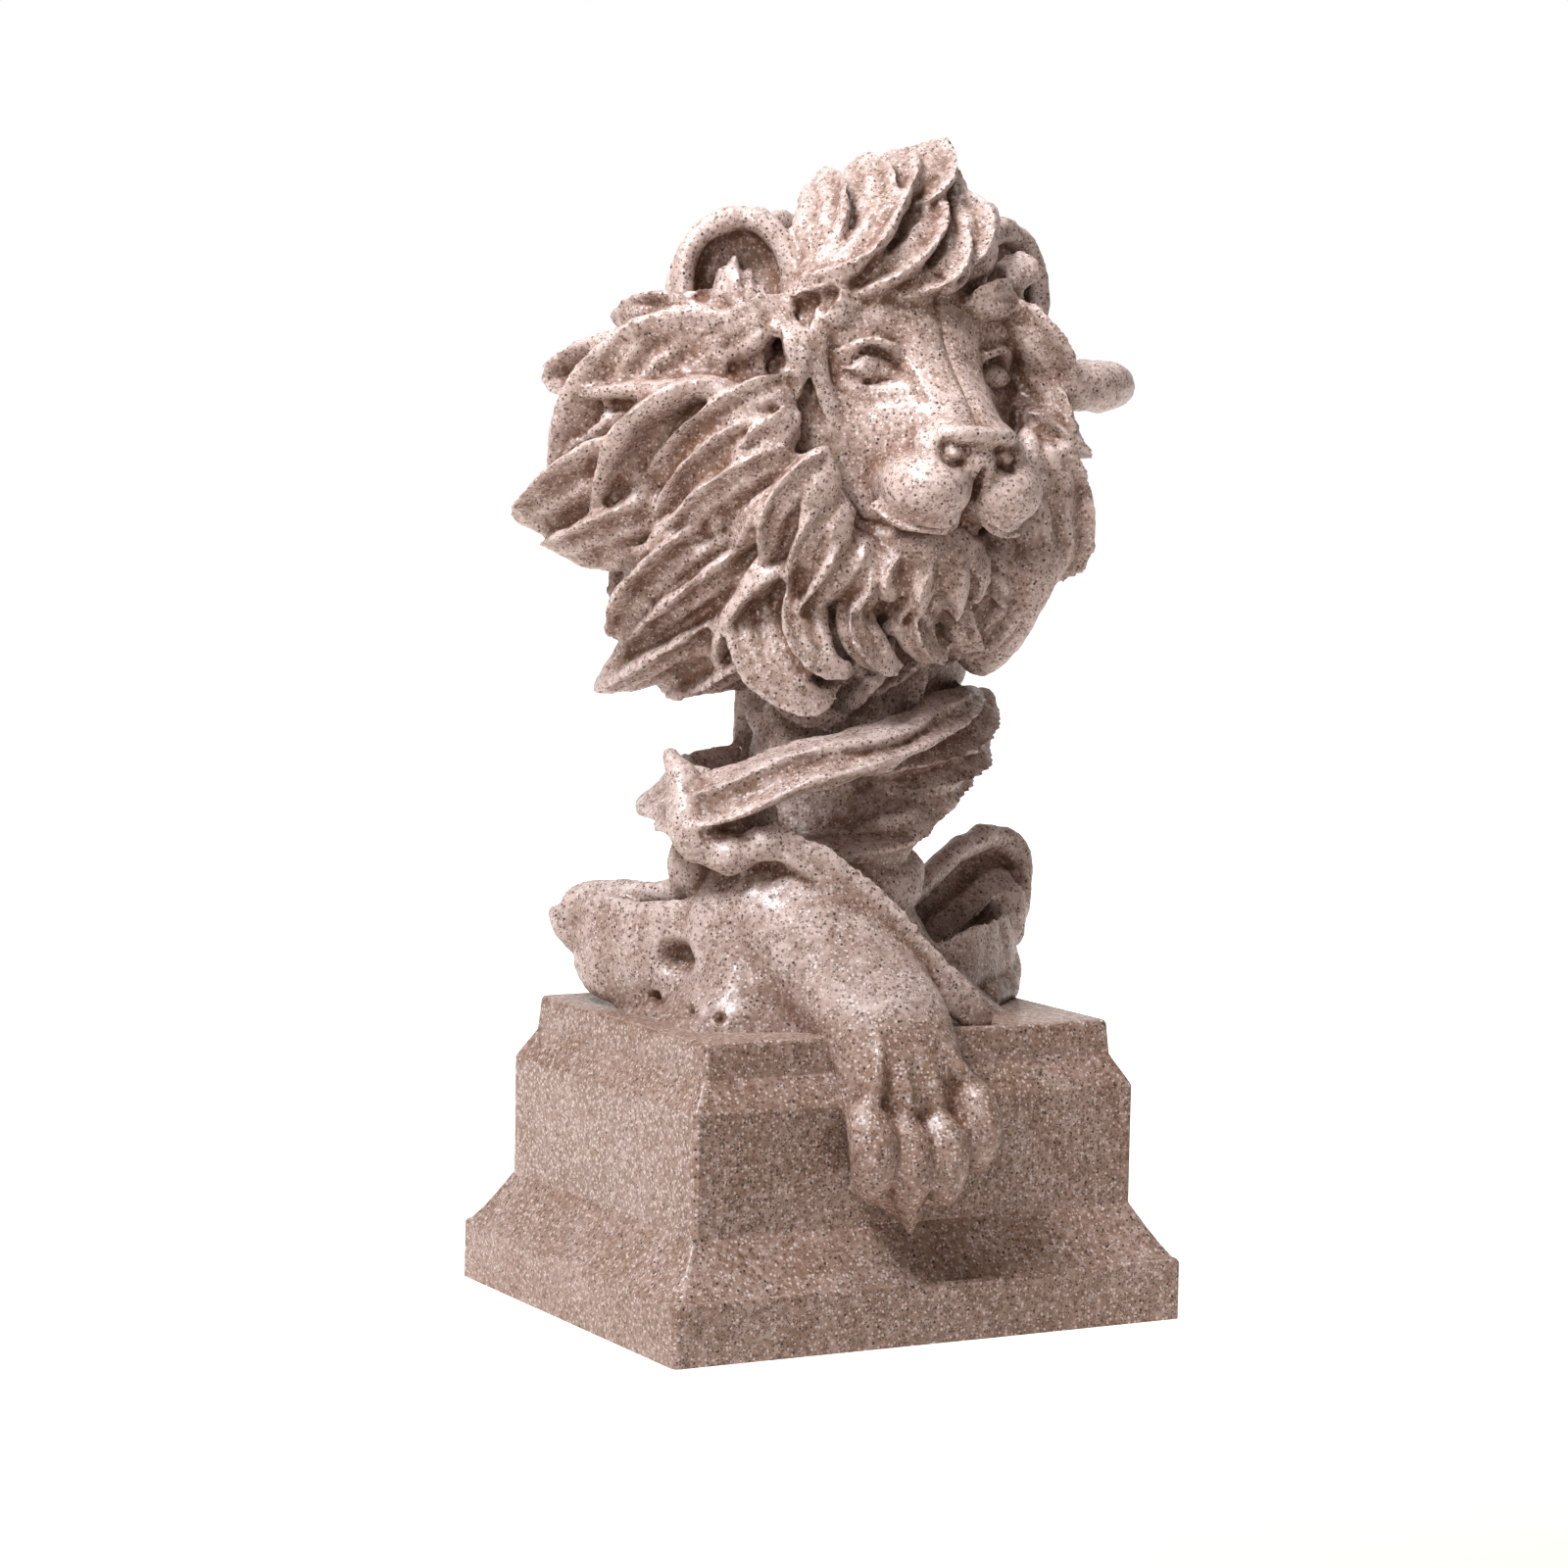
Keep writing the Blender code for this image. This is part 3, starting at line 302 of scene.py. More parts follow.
def along(route, share):
    """Places and directions at these shares of a smooth curve through the route's points."""
    route = np.array(route, float)
    ends = np.vstack([2 * route[0] - route[1], route, 2 * route[-1] - route[-2]])
    span = np.clip(share, 0.0, 0.9999) * (len(route) - 1)
    first = span.astype(int)
    t = (span - first)[:, None]
    a, b, c, d = (ends[first + k] for k in range(4))
    curve = 2 * a - 5 * b + 4 * c - d
    twist = 3 * b - a - 3 * c + d
    place = 0.5 * (2 * b + (c - a) * t + curve * t**2 + twist * t**3)
    heading = 0.5 * ((c - a) + 2 * curve * t + 3 * twist * t**2)
    return place, unit(heading)


def around_section(section, turn):
    """Points of a closed section at these shares of a turn."""
    if section is ROUND:
        return np.cos(2 * math.pi * turn), np.sin(2 * math.pi * turn)
    closed = np.vstack([section, section[:1]])
    at = np.linspace(0, 1, len(closed))
    return np.interp(turn, at, closed[:, 0]), np.interp(turn, at, closed[:, 1])


def drawn(
    route, width, thick, hub, section=ROUND, girth=LOCK_GIRTH, rise=None,
    flutes=0.0, twist=0.0, rings=24, segments=24,
):
    """A form drawn along a route, its section facing away from the hub. Girth and rise are its
    width and thickness as shares, evenly spaced, and a negative width mirrors the section."""
    rise = rise or girth

    def place(points):
        share = np.arccos(np.clip(points[:, 2], -1, 1)) / math.pi
        turn = (np.arctan2(points[:, 1], points[:, 0]) / (2 * math.pi)) % 1.0
        centre, heading = along(route, share)
        outward = centre - np.array(hub)
        outward = unit(outward - (outward * heading).sum(1)[:, None] * heading)
        aside = np.cross(heading, outward)
        side, up = around_section(section, turn)
        ribs = FLUTE_DEPTH * np.cos(2 * math.pi * flutes * side) * (flutes > 0)
        up = up + np.where(turn < FLUTED_TURN, ribs, 0)
        angle = twist * (share - 0.5)
        side, up = side * np.cos(angle) - up * np.sin(angle), side * np.sin(angle) + up * np.cos(angle)
        closing = np.sqrt(np.clip(share / 0.05, 0, 1) * np.clip((1 - share) / 0.05, 0, 1))
        wide = np.interp(share, np.linspace(0, 1, len(girth)), girth) * closing * width
        high = np.interp(share, np.linspace(0, 1, len(rise)), rise) * closing * thick
        return centre + aside * (side * wide)[:, None] + outward * (up * high)[:, None]

    return place, rings, segments


def smooth_between(at, places, values):
    """A smooth curve through these values, as one array for each place asked for."""
    places, values = np.array(places, float), np.array(values, float)
    slopes = np.gradient(values, places, axis=0)
    k = np.clip(np.searchsorted(places, at) - 1, 0, len(places) - 2)
    span = (places[k + 1] - places[k])[:, None]
    t = np.clip((at - places[k])[:, None] / span, 0, 1)
    start, end = 2 * t**3 - 3 * t**2 + 1, 3 * t**2 - 2 * t**3
    pull = (t**3 - 2 * t**2 + t) * span * slopes[k] + (t**3 - t**2) * span * slopes[k + 1]
    return start * values[k] + end * values[k + 1] + pull


# The head, placed by steps to its own left and right, forward and up from between the eyes

FACE_ORIGIN = np.array([6.1, 0.0, 74.0])
FACE_YAW = math.radians(4.5)
FACE_ROLL = math.radians(2.5)
# Height, how far forward the middle of the face is, and how far it falls back at each step aside
FACE_STEPS = (0, 4, 6, 9, 12, 16)
FACE_ROWS = (
    (-26, 11.5, 1.6, 3.0, 5.4, 8.0, 11.0),
    (-20, 15.5, 1.8, 3.8, 6.4, 8.6, 11.0),
    (-16, 17.2, 2.2, 4.4, 7.2, 9.2, 11.5),
    (-12, 19.2, 2.2, 5.2, 8.4, 10.2, 12.5),
    (-9, 21.0, 1.4, 5.0, 9.2, 11.2, 13.5),
    (-6, 20.2, 1.0, 4.4, 8.6, 10.6, 13.2),
    (-3, 17.8, 0.8, 3.6, 7.0, 8.4, 11.5),
    (0, 15.2, 0.8, 3.4, 5.2, 6.0, 9.0),
    (3, 13.8, 0.5, 1.8, 2.8, 3.8, 8.0),
    (6, 12.8, 0.6, 1.2, 2.0, 3.4, 7.5),
    (10, 10.4, 0.5, 1.0, 2.0, 3.6, 7.5),
    (16, 4.0, 0.4, 1.0, 2.2, 4.0, 7.5),
)
FACE_HALF_WIDTH = 17.5
FACE_HALF_HEIGHT = 19.5
FACE_MIDDLE = -5.0
FACE_BACK = -2.0
HEAD_MASSES = {
    "skull": ((0, -1, 2), (16, 10.0, 14)),
    "brow": ((7.4, 8.6, 4.4), (4.6, 3.4, 2.6)),
    "cheekbone": ((10.6, 6.6, -4.6), (3.8, 3.8, 3.8)),
    "cheek": ((9.5, 3.5, -10.5), (6.5, 6.5, 8)),
    "cheek side": ((13.6, 1.6, -8.5), (5.6, 6.6, 11.0)),
    "nose": ((3.2, 18.0, -7.9), (2.9, 3.6, 2.2)),
    "muzzle": ((4.6, 15.6, -13.4), (4.6, 5.4, 4.0)),
    "chin": ((0, 12.4, -20.6), (6.4, 4.8, 5.6)),
    "jaw": ((0, 5.5, -19.5), (10.5, 7.5, 7.5)),
}
# Root, bend and tip of each tuft under the chin
CHIN_TUFTS = (
    ((-4.6, 12.6, -20.5), (-6.0, 13.6, -24.0), (-5.2, 12.6, -27.0)),
    ((-1.8, 15.0, -21.5), (-3.0, 15.8, -25.0), (-2.0, 13.8, -28.4)),
    ((1.6, 15.6, -21.0), (1.4, 16.6, -24.6), (2.6, 14.6, -28.8)),
    ((4.4, 14.0, -20.0), (5.2, 15.0, -23.0), (6.6, 13.4, -26.6)),
    ((6.2, 11.6, -19.0), (7.4, 12.0, -21.8), (8.8, 10.6, -24.6)),
)
EAR_HALF_WIDTH = 6.4
EAR_HALF_HEIGHT = 7.4
EAR_RIM = 1.35
# Place across and up, and length, of each tuft in an ear
EAR_TUFTS = ((-2.6, -5.6, 2.6), (-0.8, -5.8, 3.6), (1.2, -5.4, 4.2), (3.2, -4.4, 3.0))


def face_axes():
    right = unit(np.array([math.cos(FACE_YAW), math.sin(FACE_YAW), -math.sin(FACE_ROLL)]))
    forward = np.array([math.sin(FACE_YAW), -math.cos(FACE_YAW), 0.0])
    return np.array([right, forward, np.cross(right, -forward)])


def face(right, forward, up):
    return FACE_ORIGIN + np.array([right, forward, up]) @ face_axes()


def face_mask(points):
    """The front of the head, its relief worked out from the rows above."""
    right = points[:, 0] * FACE_HALF_WIDTH
    up = points[:, 2] * FACE_HALF_HEIGHT + FACE_MIDDLE
    heights = [row[0] for row in FACE_ROWS]
    middle_and_falls = smooth_between(up, heights, [row[1:] for row in FACE_ROWS])
    falls = middle_and_falls.copy()
    falls[:, 0] = 0.0
    fall = np.array([np.interp(away, FACE_STEPS, row) for away, row in zip(np.abs(right), falls)])
    rim = np.clip(points[:, 1] * 2.2, 0, 1)
    front = FACE_BACK + (middle_and_falls[:, 0] - fall - FACE_BACK) * rim
    forward = np.where(points[:, 1] > 0, front, FACE_BACK + points[:, 1] * 4)
    return FACE_ORIGIN + np.stack([right, forward, up], 1) @ face_axes()


def on_face(points, width, thick, girth, section=ROUND):
    """A small form drawn over the face."""
    return drawn(
        [face(*p) for p in points], width, thick, face(0, -5, -4), section, girth, rings=20,
        segments=16,
    )


def head_masses():
    axes = face_axes()
    yield face_mask, 56, 72
    for (right, forward, up), radii in HEAD_MASSES.values():
        for side in {right, -right}:
            yield blob(face(side, forward, up), radii, axes)


def head_details():
    """Eyes, nose, lips and chin, laid over the smooth face."""
    axes = face_axes()
    for side in (-1, 1):
        yield blob(face(side * 8.7, 8.9, -0.7), (3.3, 2.7, 2.2), axes)
        brow = [(side * 13.2, 7.4, 0.0), (side * 9.4, 10.9, 2.3), (side * 5.7, 12.7, 1.5)]
        yield on_face(brow, 0.8, 1.1, (0.5, 1, 1, 0.6))
        lid = [(side * 12.4, 8.2, -1.8), (side * 9.0, 10.7, -3.1), (side * 5.7, 12.3, -2.0)]
        yield on_face(lid, 0.45, 0.6, (0.5, 1, 1, 0.6))
        wing = [
            (side * 1.4, 20.2, -10.6), (side * 4.2, 20.4, -10.2), (side * 6.0, 18.6, -9.0),
            (side * 5.4, 18.0, -7.4),
        ]
        yield on_face(wing, 1.2, 1.4, (0.8, 1, 1, 0.6))
        yield blob(face(side * 4.9, 17.8, -13.7), (5.0, 5.4, 4.1), axes)
        lip = [
            (side * 9.6, 13.4, -15.6), (side * 7.6, 17.2, -17.5), (side * 4.2, 19.8, -18.0),
            (side * 1.2, 19.4, -16.8),
        ]
        yield on_face(lip, 1.0, 1.3, (0.4, 1, 1, 0.9, 0.5))
        edge = [
            (side * 12.4, 7.4, 8.0), (side * 14.2, 8.6, 2.5), (side * 13.8, 9.4, -3.5),
            (side * 11.6, 9.8, -8.5),
        ]
        yield on_face(edge, 1.2, 1.5, (0.4, 0.9, 1, 0.8, 0.3), WAVE)
    yield blob(face(0, 20.0, -10.6), (2.4, 2.6, 2.2), axes)
    tip = [(-5.6, 19.0, -7.8), (-2.6, 21.6, -7.6), (2.6, 21.6, -7.6), (5.6, 19.0, -7.8)]
    yield on_face(tip, 1.0, 1.2, (0.7, 1, 1, 0.7))
    for tuft in CHIN_TUFTS:
        yield on_face(tuft, 1.9, 1.9, (0.8, 1, 0.8, 0.15), WAVE)


def ear_frame(side):
    """The ear's middle, then its directions across, up and forward."""
    centre = FACE_ORIGIN + np.array([side * 17.4 - 0.9, 0.5, 9.0 - side * 0.1])
    forward = unit(np.array([side * 0.42 - 0.05, -0.90, 0.12]))
    across = unit(np.cross(forward, (0, 0, 1.0)))
    return centre, across, np.cross(across, forward), forward


def ear(side):
    """A dished ear, a rolled rim round it and tufts inside it."""
    centre, across, up, forward = ear_frame(side)

    def at(wide, high, ahead):
        return centre + wide * across + high * up + ahead * forward

    def dish(points):
        reach = np.hypot(points[:, 0], points[:, 2])
        hollow = 0.9 - 3.0 * (1 - reach**3).clip(0, 1)
        ahead = np.where(points[:, 1] > 0, hollow, 4.0 * points[:, 1])
        flat = np.outer(points[:, 0] * EAR_HALF_WIDTH, across)
        flat = flat + np.outer(points[:, 2] * EAR_HALF_HEIGHT, up)
        return centre + flat + np.outer(ahead, forward)

    yield dish, 26, 28
    turns = np.radians(np.linspace(-150, 150, 9))
    rim = [at(6.1 * math.sin(turn), 7.0 * math.cos(turn), 0.9) for turn in turns]
    yield drawn(
        rim, EAR_RIM, EAR_RIM + 0.15, at(0, 0, -9), ROUND, (0.7, 1, 1, 1, 0.7), rings=40,
        segments=14,
    )
    for wide, high, length in EAR_TUFTS:
        tuft = [
            at(wide, high, -0.8), at(wide * 0.6, high + length, 0.4),
            at(wide * 0.9 - 0.6, high + length * 2.1, -0.6),
        ]
        yield drawn(tuft, 1.5, 1.6, at(0, 0, -9), WAVE, (0.8, 1, 0.8, 0.2), rings=18, segments=18)


# The mane: locks named by clock, in degrees from the top as the viewer sees it, and by reach
# from its middle

MANE_MIDDLE = (5.0, 66.0)
MANE_HUB = (5.0, 14.0, 66.0)
MANE_FRONT = -11.0
# Root clock and reach, tip clock and reach, half width, bow, swell, section
LOCKS = {
    "roll under the ear": (-40, 20, -75, 26.5, 2.6, -3, -1, WAVE),
    "bump by the ear": (-63, 20, -61, 27.8, 3.0, 3, 0, WAVE),
    "bump beyond": (-69, 21, -66, 32, 3.4, 3, 0, WAVE),
    "upper left tuft": (-70, 20, -81, 36, 4.2, 0, 0, CUP),
    "broad left lock": (-70, 18, -115, 33.5, 6.0, 12, 2, CUP),
    "left point": (-94, 24, -106, 38.4, 5.4, -1, 0, WAVE),
    "left point below": (-110, 24, -111, 36.6, 4.6, -1, 1, WAVE),
    "first lens lock": (-74, 15.5, -112, 30, 3.6, 6, -2, WAVE),
    "second lens lock": (-90, 16, -118, 29, 3.4, 6, -1, WAVE),
    "third lens lock": (-102, 15, -124, 31, 3.4, 6, -2, WAVE),
    "lock over the cheek": (-86, 14.5, -118, 21, 2.6, 7, 1, WAVE),
    "curl by the jaw": (-112, 14, -128, 23.5, 2.8, 5, -1, WAVE),
    "lower left broad": (-120, 22, -132, 35.5, 4.8, 2, 0, WAVE),
    "lower left tuft": (-130, 21, -134, 36, 4.2, 1, -1, WAVE),
    "lower left point": (-142, 23, -138, 40.5, 4.2, 1, 0, WAVE),
    "lower left curl": (-154, 23, -145, 36.5, 4.0, 0, 0, WAVE),
    "beard lock": (-144, 13, -150, 25, 3.8, -1, 0, WAVE),
    "beard lock inside": (-162, 14, -160, 22, 3.2, -2, 0, WAVE),
    "beard lock middle": (-182, 14, -173, 22, 3.2, -1, 0, WAVE),
    "throat lock": (-146, 19, -156, 32, 5.2, 7, -1, CUP),
    "throat lock below": (-186, 22, -160, 34.5, 5.2, -2, 1, CUP),
    "goatee right": (157, 14, 150, 23, 2.8, -7, 1, WAVE),
    "goatee middle": (171, 14, 159, 21.5, 2.8, -3, 1, WAVE),
    "goatee left": (184, 14, 168, 20.5, 2.8, -1, 0, WAVE),
    "temple strand": (-24, 20, -44, 17, 1.5, 2, -1, WAVE),
    "face edge strand": (-47, 19, -70, 15.5, 1.6, 1, 1, WAVE),
    "right temple lock": (35, 20, 76, 20, 3.0, 0, 0, WAVE),
    "right tuft": (70, 17, 78.5, 31.0, 3.0, 1, 0, ROUND),
    "right lock below": (78, 15, 95, 22.8, 2.8, 1, 0, WAVE),
    "right corner": (88, 15, 121, 30.5, -3.0, -1, -6, WAVE),
    "right corner inside": (96, 15, 128, 25, -3.0, 2, 1, WAVE),
    "right jaw lock": (100, 15, 131, 26, -4.2, 4, 0, WAVE),
    "right throat lock": (112, 18, 155, 29.0, 3.4, 3, -1, ROUND),
    "right throat inside": (130, 15, 164, 26, -3.4, 5, 1, WAVE),
    "right cheek strand": (58, 18, 100, 17.5, 1.8, 3, 1, WAVE),
    "right cheek strand beyond": (66, 19, 108, 19, 2.0, 4, 0, WAVE),
    "right jaw strand": (104, 17, 138, 20, -2.2, 4, 1, WAVE),
    "right jaw roll": (92, 16, 134, 25.6, 2.3, 4, 0, ROUND),
    "right throat roll": (120, 17, 148, 26.6, 2.3, 4, 0, ROUND),
    "lock beside the jaw": (-104, 12, -132, 20.5, 3.4, 4, 1, WAVE),
    "lock under the cheek": (-122, 12, -150, 21.5, 3.2, 3, 1, WAVE),
    "brow tuft": (45, 21, 22, 16, 2.2, -1, 0, WAVE),
    "brow tuft above": (42, 21, 33, 23.5, 2.2, 0, 1, WAVE),
    "forelock": (-34, 21, 12, 31.5, 4.6, -3, -4, WAVE),
    "forelock below": (-30, 18, 14, 28.5, 3.8, 4, -3, WAVE),
    "forelock low": (-10, 16, 14, 26.0, 3.4, 4, -2, WAVE),
    "right flame": (3, 17, 13, 28.5, 3.8, 7, 0, WAVE),
    "right flame behind": (14, 18, 17, 27.5, 3.4, 3, 1, WAVE),
    "top flame": (2, 24, 9, 32.3, 4.0, 3, 1, WAVE),
    "top flame left": (-5, 24, 4, 32.0, 3.4, 1, 0, WAVE),
    "second flame": (-18, 21, -3, 31.2, 3.6, 3, 0, WAVE),
    "left flame": (-30, 21, -12, 30.0, 3.6, 1, 0, WAVE),
}
# How far aside, how far ahead and how large each companion of a broad lock is
COMPANIONS = ((0.85, -0.6, 0.62), (-0.75, 0.5, 0.5))
BROAD = 3.0
MANE_MASSES = (
    ((5.0, 7.0, 70.0), (20, 15, 19)),
    ((-8.5, 9.0, 63.0), (18, 10.5, 17)),
    ((-9.0, 6.0, 49.0), (12, 9.5, 12)),
    ((19.0, 5.5, 62.5), (11.5, 11.0, 17)),
    ((13.0, 5.0, 48.0), (10.5, 9.5, 12)),
    ((9.0, 5.0, 83.0), (10, 10, 10)),
    ((-5.5, 3.5, 62.0), (11, 11, 15)),
    ((0.0, 3.0, 47.5), (11, 9, 9)),
    ((12.6, 5.0, 39.5), (8, 7, 7)),
    ((11.0, 4.0, 44.0), (8, 7, 9)),
)
THROAT_HUB = (1.0, 6.0, 45.0)
# Route and half width of each curl under the jaw
THROAT_LOCKS = (
    (((-10, -2, 53), (-11.8, -4, 46), (-11.2, -6.4, 40), (-6.8, -8.6, 36.6), (-3.0, -9.2, 38.2)), 3.1),
    (((-5, -6, 52), (-8.0, -8.4, 46), (-6.6, -10.4, 41), (-2.2, -11.0, 39.2)), 2.9),
    (((0, -9, 49), (-2.4, -11.4, 44.8), (0.2, -11.8, 41), (4.2, -10.8, 40.2)), 2.6),
    (((6, -9, 47.5), (4.6, -11.8, 44.6), (7.0, -11.4, 41.8), (11, -9.4, 41.6)), 2.4),
    (((12, -7, 50), (11.6, -10.2, 46), (13.6, -9.4, 43), (17, -6.4, 43.4)), 2.5),
    (((-10, 0, 44), (-9.0, -4.6, 38.5), (-5.2, -7.0, 34.8), (-0.6, -7.8, 34.4)), 2.3),
)
# Height, number and reach of each ring of locks on the back of the head
BACK_RINGS = ((84, 7, 14), (74, 9, 20), (62, 10, 23), (50, 8, 20))


def mane_place(clock, reach, ahead=0.0):
    """A place on the mane's surface, which falls back faster on the left than on the right."""
    angle = math.radians(clock)
    left = 0.5 - 0.5 * math.sin(angle)
    back = MANE_FRONT + (0.45 + 0.75 * left) * (reach - 15.0)
    across, high = reach * math.sin(angle), reach * math.cos(angle)
    return np.array((MANE_MIDDLE[0] + across, back - ahead, MANE_MIDDLE[1] + high))


def lock(row, aside=0.0, lift=0.0, size=1.0):
    """One lock of the mane, or a companion moved aside, lifted and made smaller. A lock of round
    section ends bluntly."""
    root_clock, root_reach, tip_clock, tip_reach, width, bow, swell, section = row
    shift = math.degrees(aside * abs(width) / 26.0)
    route = []
    for share, bend, ahead in (
        (0, 0, -1.5), (0.33, bow, 2.0), (0.64, bow, 2.4), (0.87, bow * 0.35, 1.4),
        (1, -0.2 * bow, 0.2),
    ):
        clock = root_clock + (tip_clock - root_clock) * share + bend + shift * (1 - 0.5 * share)
        grown = (tip_reach - root_reach) * share * (0.35 + 0.65 * size)
        reach = root_reach + grown + swell * math.sin(math.pi * share)
        route.append(mane_place(clock, reach, ahead + lift))
    if size < 1.0:
        section = WAVE
    girth, rise = (BLUNT_GIRTH, BLUNT_GIRTH) if section is ROUND else (LOCK_GIRTH, LOCK_RISE)
    return drawn(
        route, width * size, abs(width) * size * 1.08, MANE_HUB, section, girth, rise,
        flutes=1.5 if section is WAVE else 0.0, twist=0.5, rings=30, segments=28,
    )


def mane_masses():
    for centre, radii in MANE_MASSES:
        yield blob(centre, radii, rings=24, segments=24)


def mane_locks():
    for row in LOCKS.values():
        yield lock(row)
        if abs(row[4]) > BROAD and row[7] is not ROUND:
            for aside, lift, size in COMPANIONS:
                yield lock(row, aside, lift, size)


def throat_locks():
    """Curls that hang from the jaw over the front of the neck."""
    for route, width in THROAT_LOCKS:
        yield drawn(
            route, width, abs(width), THROAT_HUB, WAVE, LOCK_GIRTH, LOCK_RISE, flutes=1.5,
            rings=28, segments=28,
        )


def back_locks():
    """Plainer locks that hang in rings over the back of the head."""
    for ring, (height, count, reach) in enumerate(BACK_RINGS):
        for k in range(count):
            turn = math.radians(15 + 150 * (k + 0.5 * (ring % 2)) / (count - 0.5))
            out = np.array([math.cos(turn), math.sin(turn) * 0.85, 0.0])
            root = np.array([4.0, 7.0, height + 8.0]) + out * (reach - 5.0)
            tip = np.array([3.0, 8.0, height - 9.0]) + out * (reach + 3.5)
            bend = 0.5 * (root + tip) + out * 2.5
            yield drawn(
                [root, bend, tip], 4.4, 3.4, (4.0, 6.0, height), WAVE, LOCK_GIRTH, LOCK_RISE,
                flutes=1.5,
            )


# The body: neck, drapery and the post behind

BODY_HUB = (0, 4, 20)
SKIRT_HEIGHT = 21.0
SKIRT_SIDE = 24.0
SKIRT_FRONT = 18.5
SKIRT_BACK = 17.0
SKIRT_WAIST = 9.5


def skirt(points):
    """The cloth spread from the waist over the top of the plinth."""
    height = (points[:, 2] + 1) / 2
    around = np.arctan2(points[:, 1], points[:, 0])
    ring = np.hypot(points[:, 0], points[:, 1])
    left = np.clip(-np.cos(around), 0, 1)
    front = np.clip(-np.sin(around), 0, 1)
    wide = SKIRT_SIDE + 1.5 * left
    deep = np.where(points[:, 1] > 0, SKIRT_BACK, SKIRT_FRONT)
    outer = (np.abs(np.cos(around) / wide) ** 3 + np.abs(np.sin(around) / deep) ** 3) ** (-1 / 3)
    waist = SKIRT_WAIST + 1.5 * left
    spread = (1 - height) ** (2.2 - 1.3 * np.minimum(1.6 * np.sqrt(left * front), 1.0))
    reach = waist + (outer - waist) * spread
    folds = 1 + 0.03 * np.sin(around * 9) * (1 - height)
    reach = reach * np.clip(ring * 2.2, 0, 1) * folds
    rise = SKIRT_HEIGHT * height - 2.5
    return np.stack([reach * np.cos(around) - height, reach * np.sin(around) - 2.0 * height, rise], 1)


def body_masses():
    trunk = [(0, 3, 4), (-1, 2, 17), (2, 2, 31), (7, 3, 50)]
    yield drawn(trunk, 10.5, 9.5, (0, 60, 30), ROUND, (1.2, 0.95, 0.9, 0.85, 0.95))
    yield skirt, 40, 56
    yield blob((-10.5, -5.0, 8.0), (9.5, 8.0, 11.5))
    yield blob((-14.0, -4.6, 22.4), (5.0, 5.0, 4.6))
    yield blob((-15.6, 1.6, 17.0), (3.4, 4.0, 4.2))
    yield blob((27.6, 6.0, 9.0), (3.8, 3.0, 4.8))
    wing = [(-9, -6, 7), (-16.5, -3, 6.6), (-20.6, 4, 6.4), (-22.8, 10.5, 6.8), (-23.8, 16, 7.8)]
    yield drawn(wing, 7.8, 4.6, (6, 14, 8), LEAF, (0.9, 1.0, 0.95, 0.85, 0.62), rings=32, segments=28)


def post():
    """The plain upright behind the neck that carries the mane."""
    yield drawn(
        [(-1.5, 11.5, -2), (-1.5, 11.5, 30), (-1.5, 11.5, 56)], 3.8, 3.8, (-1.5, 60, 30), ROUND,
        (1, 1),
    )


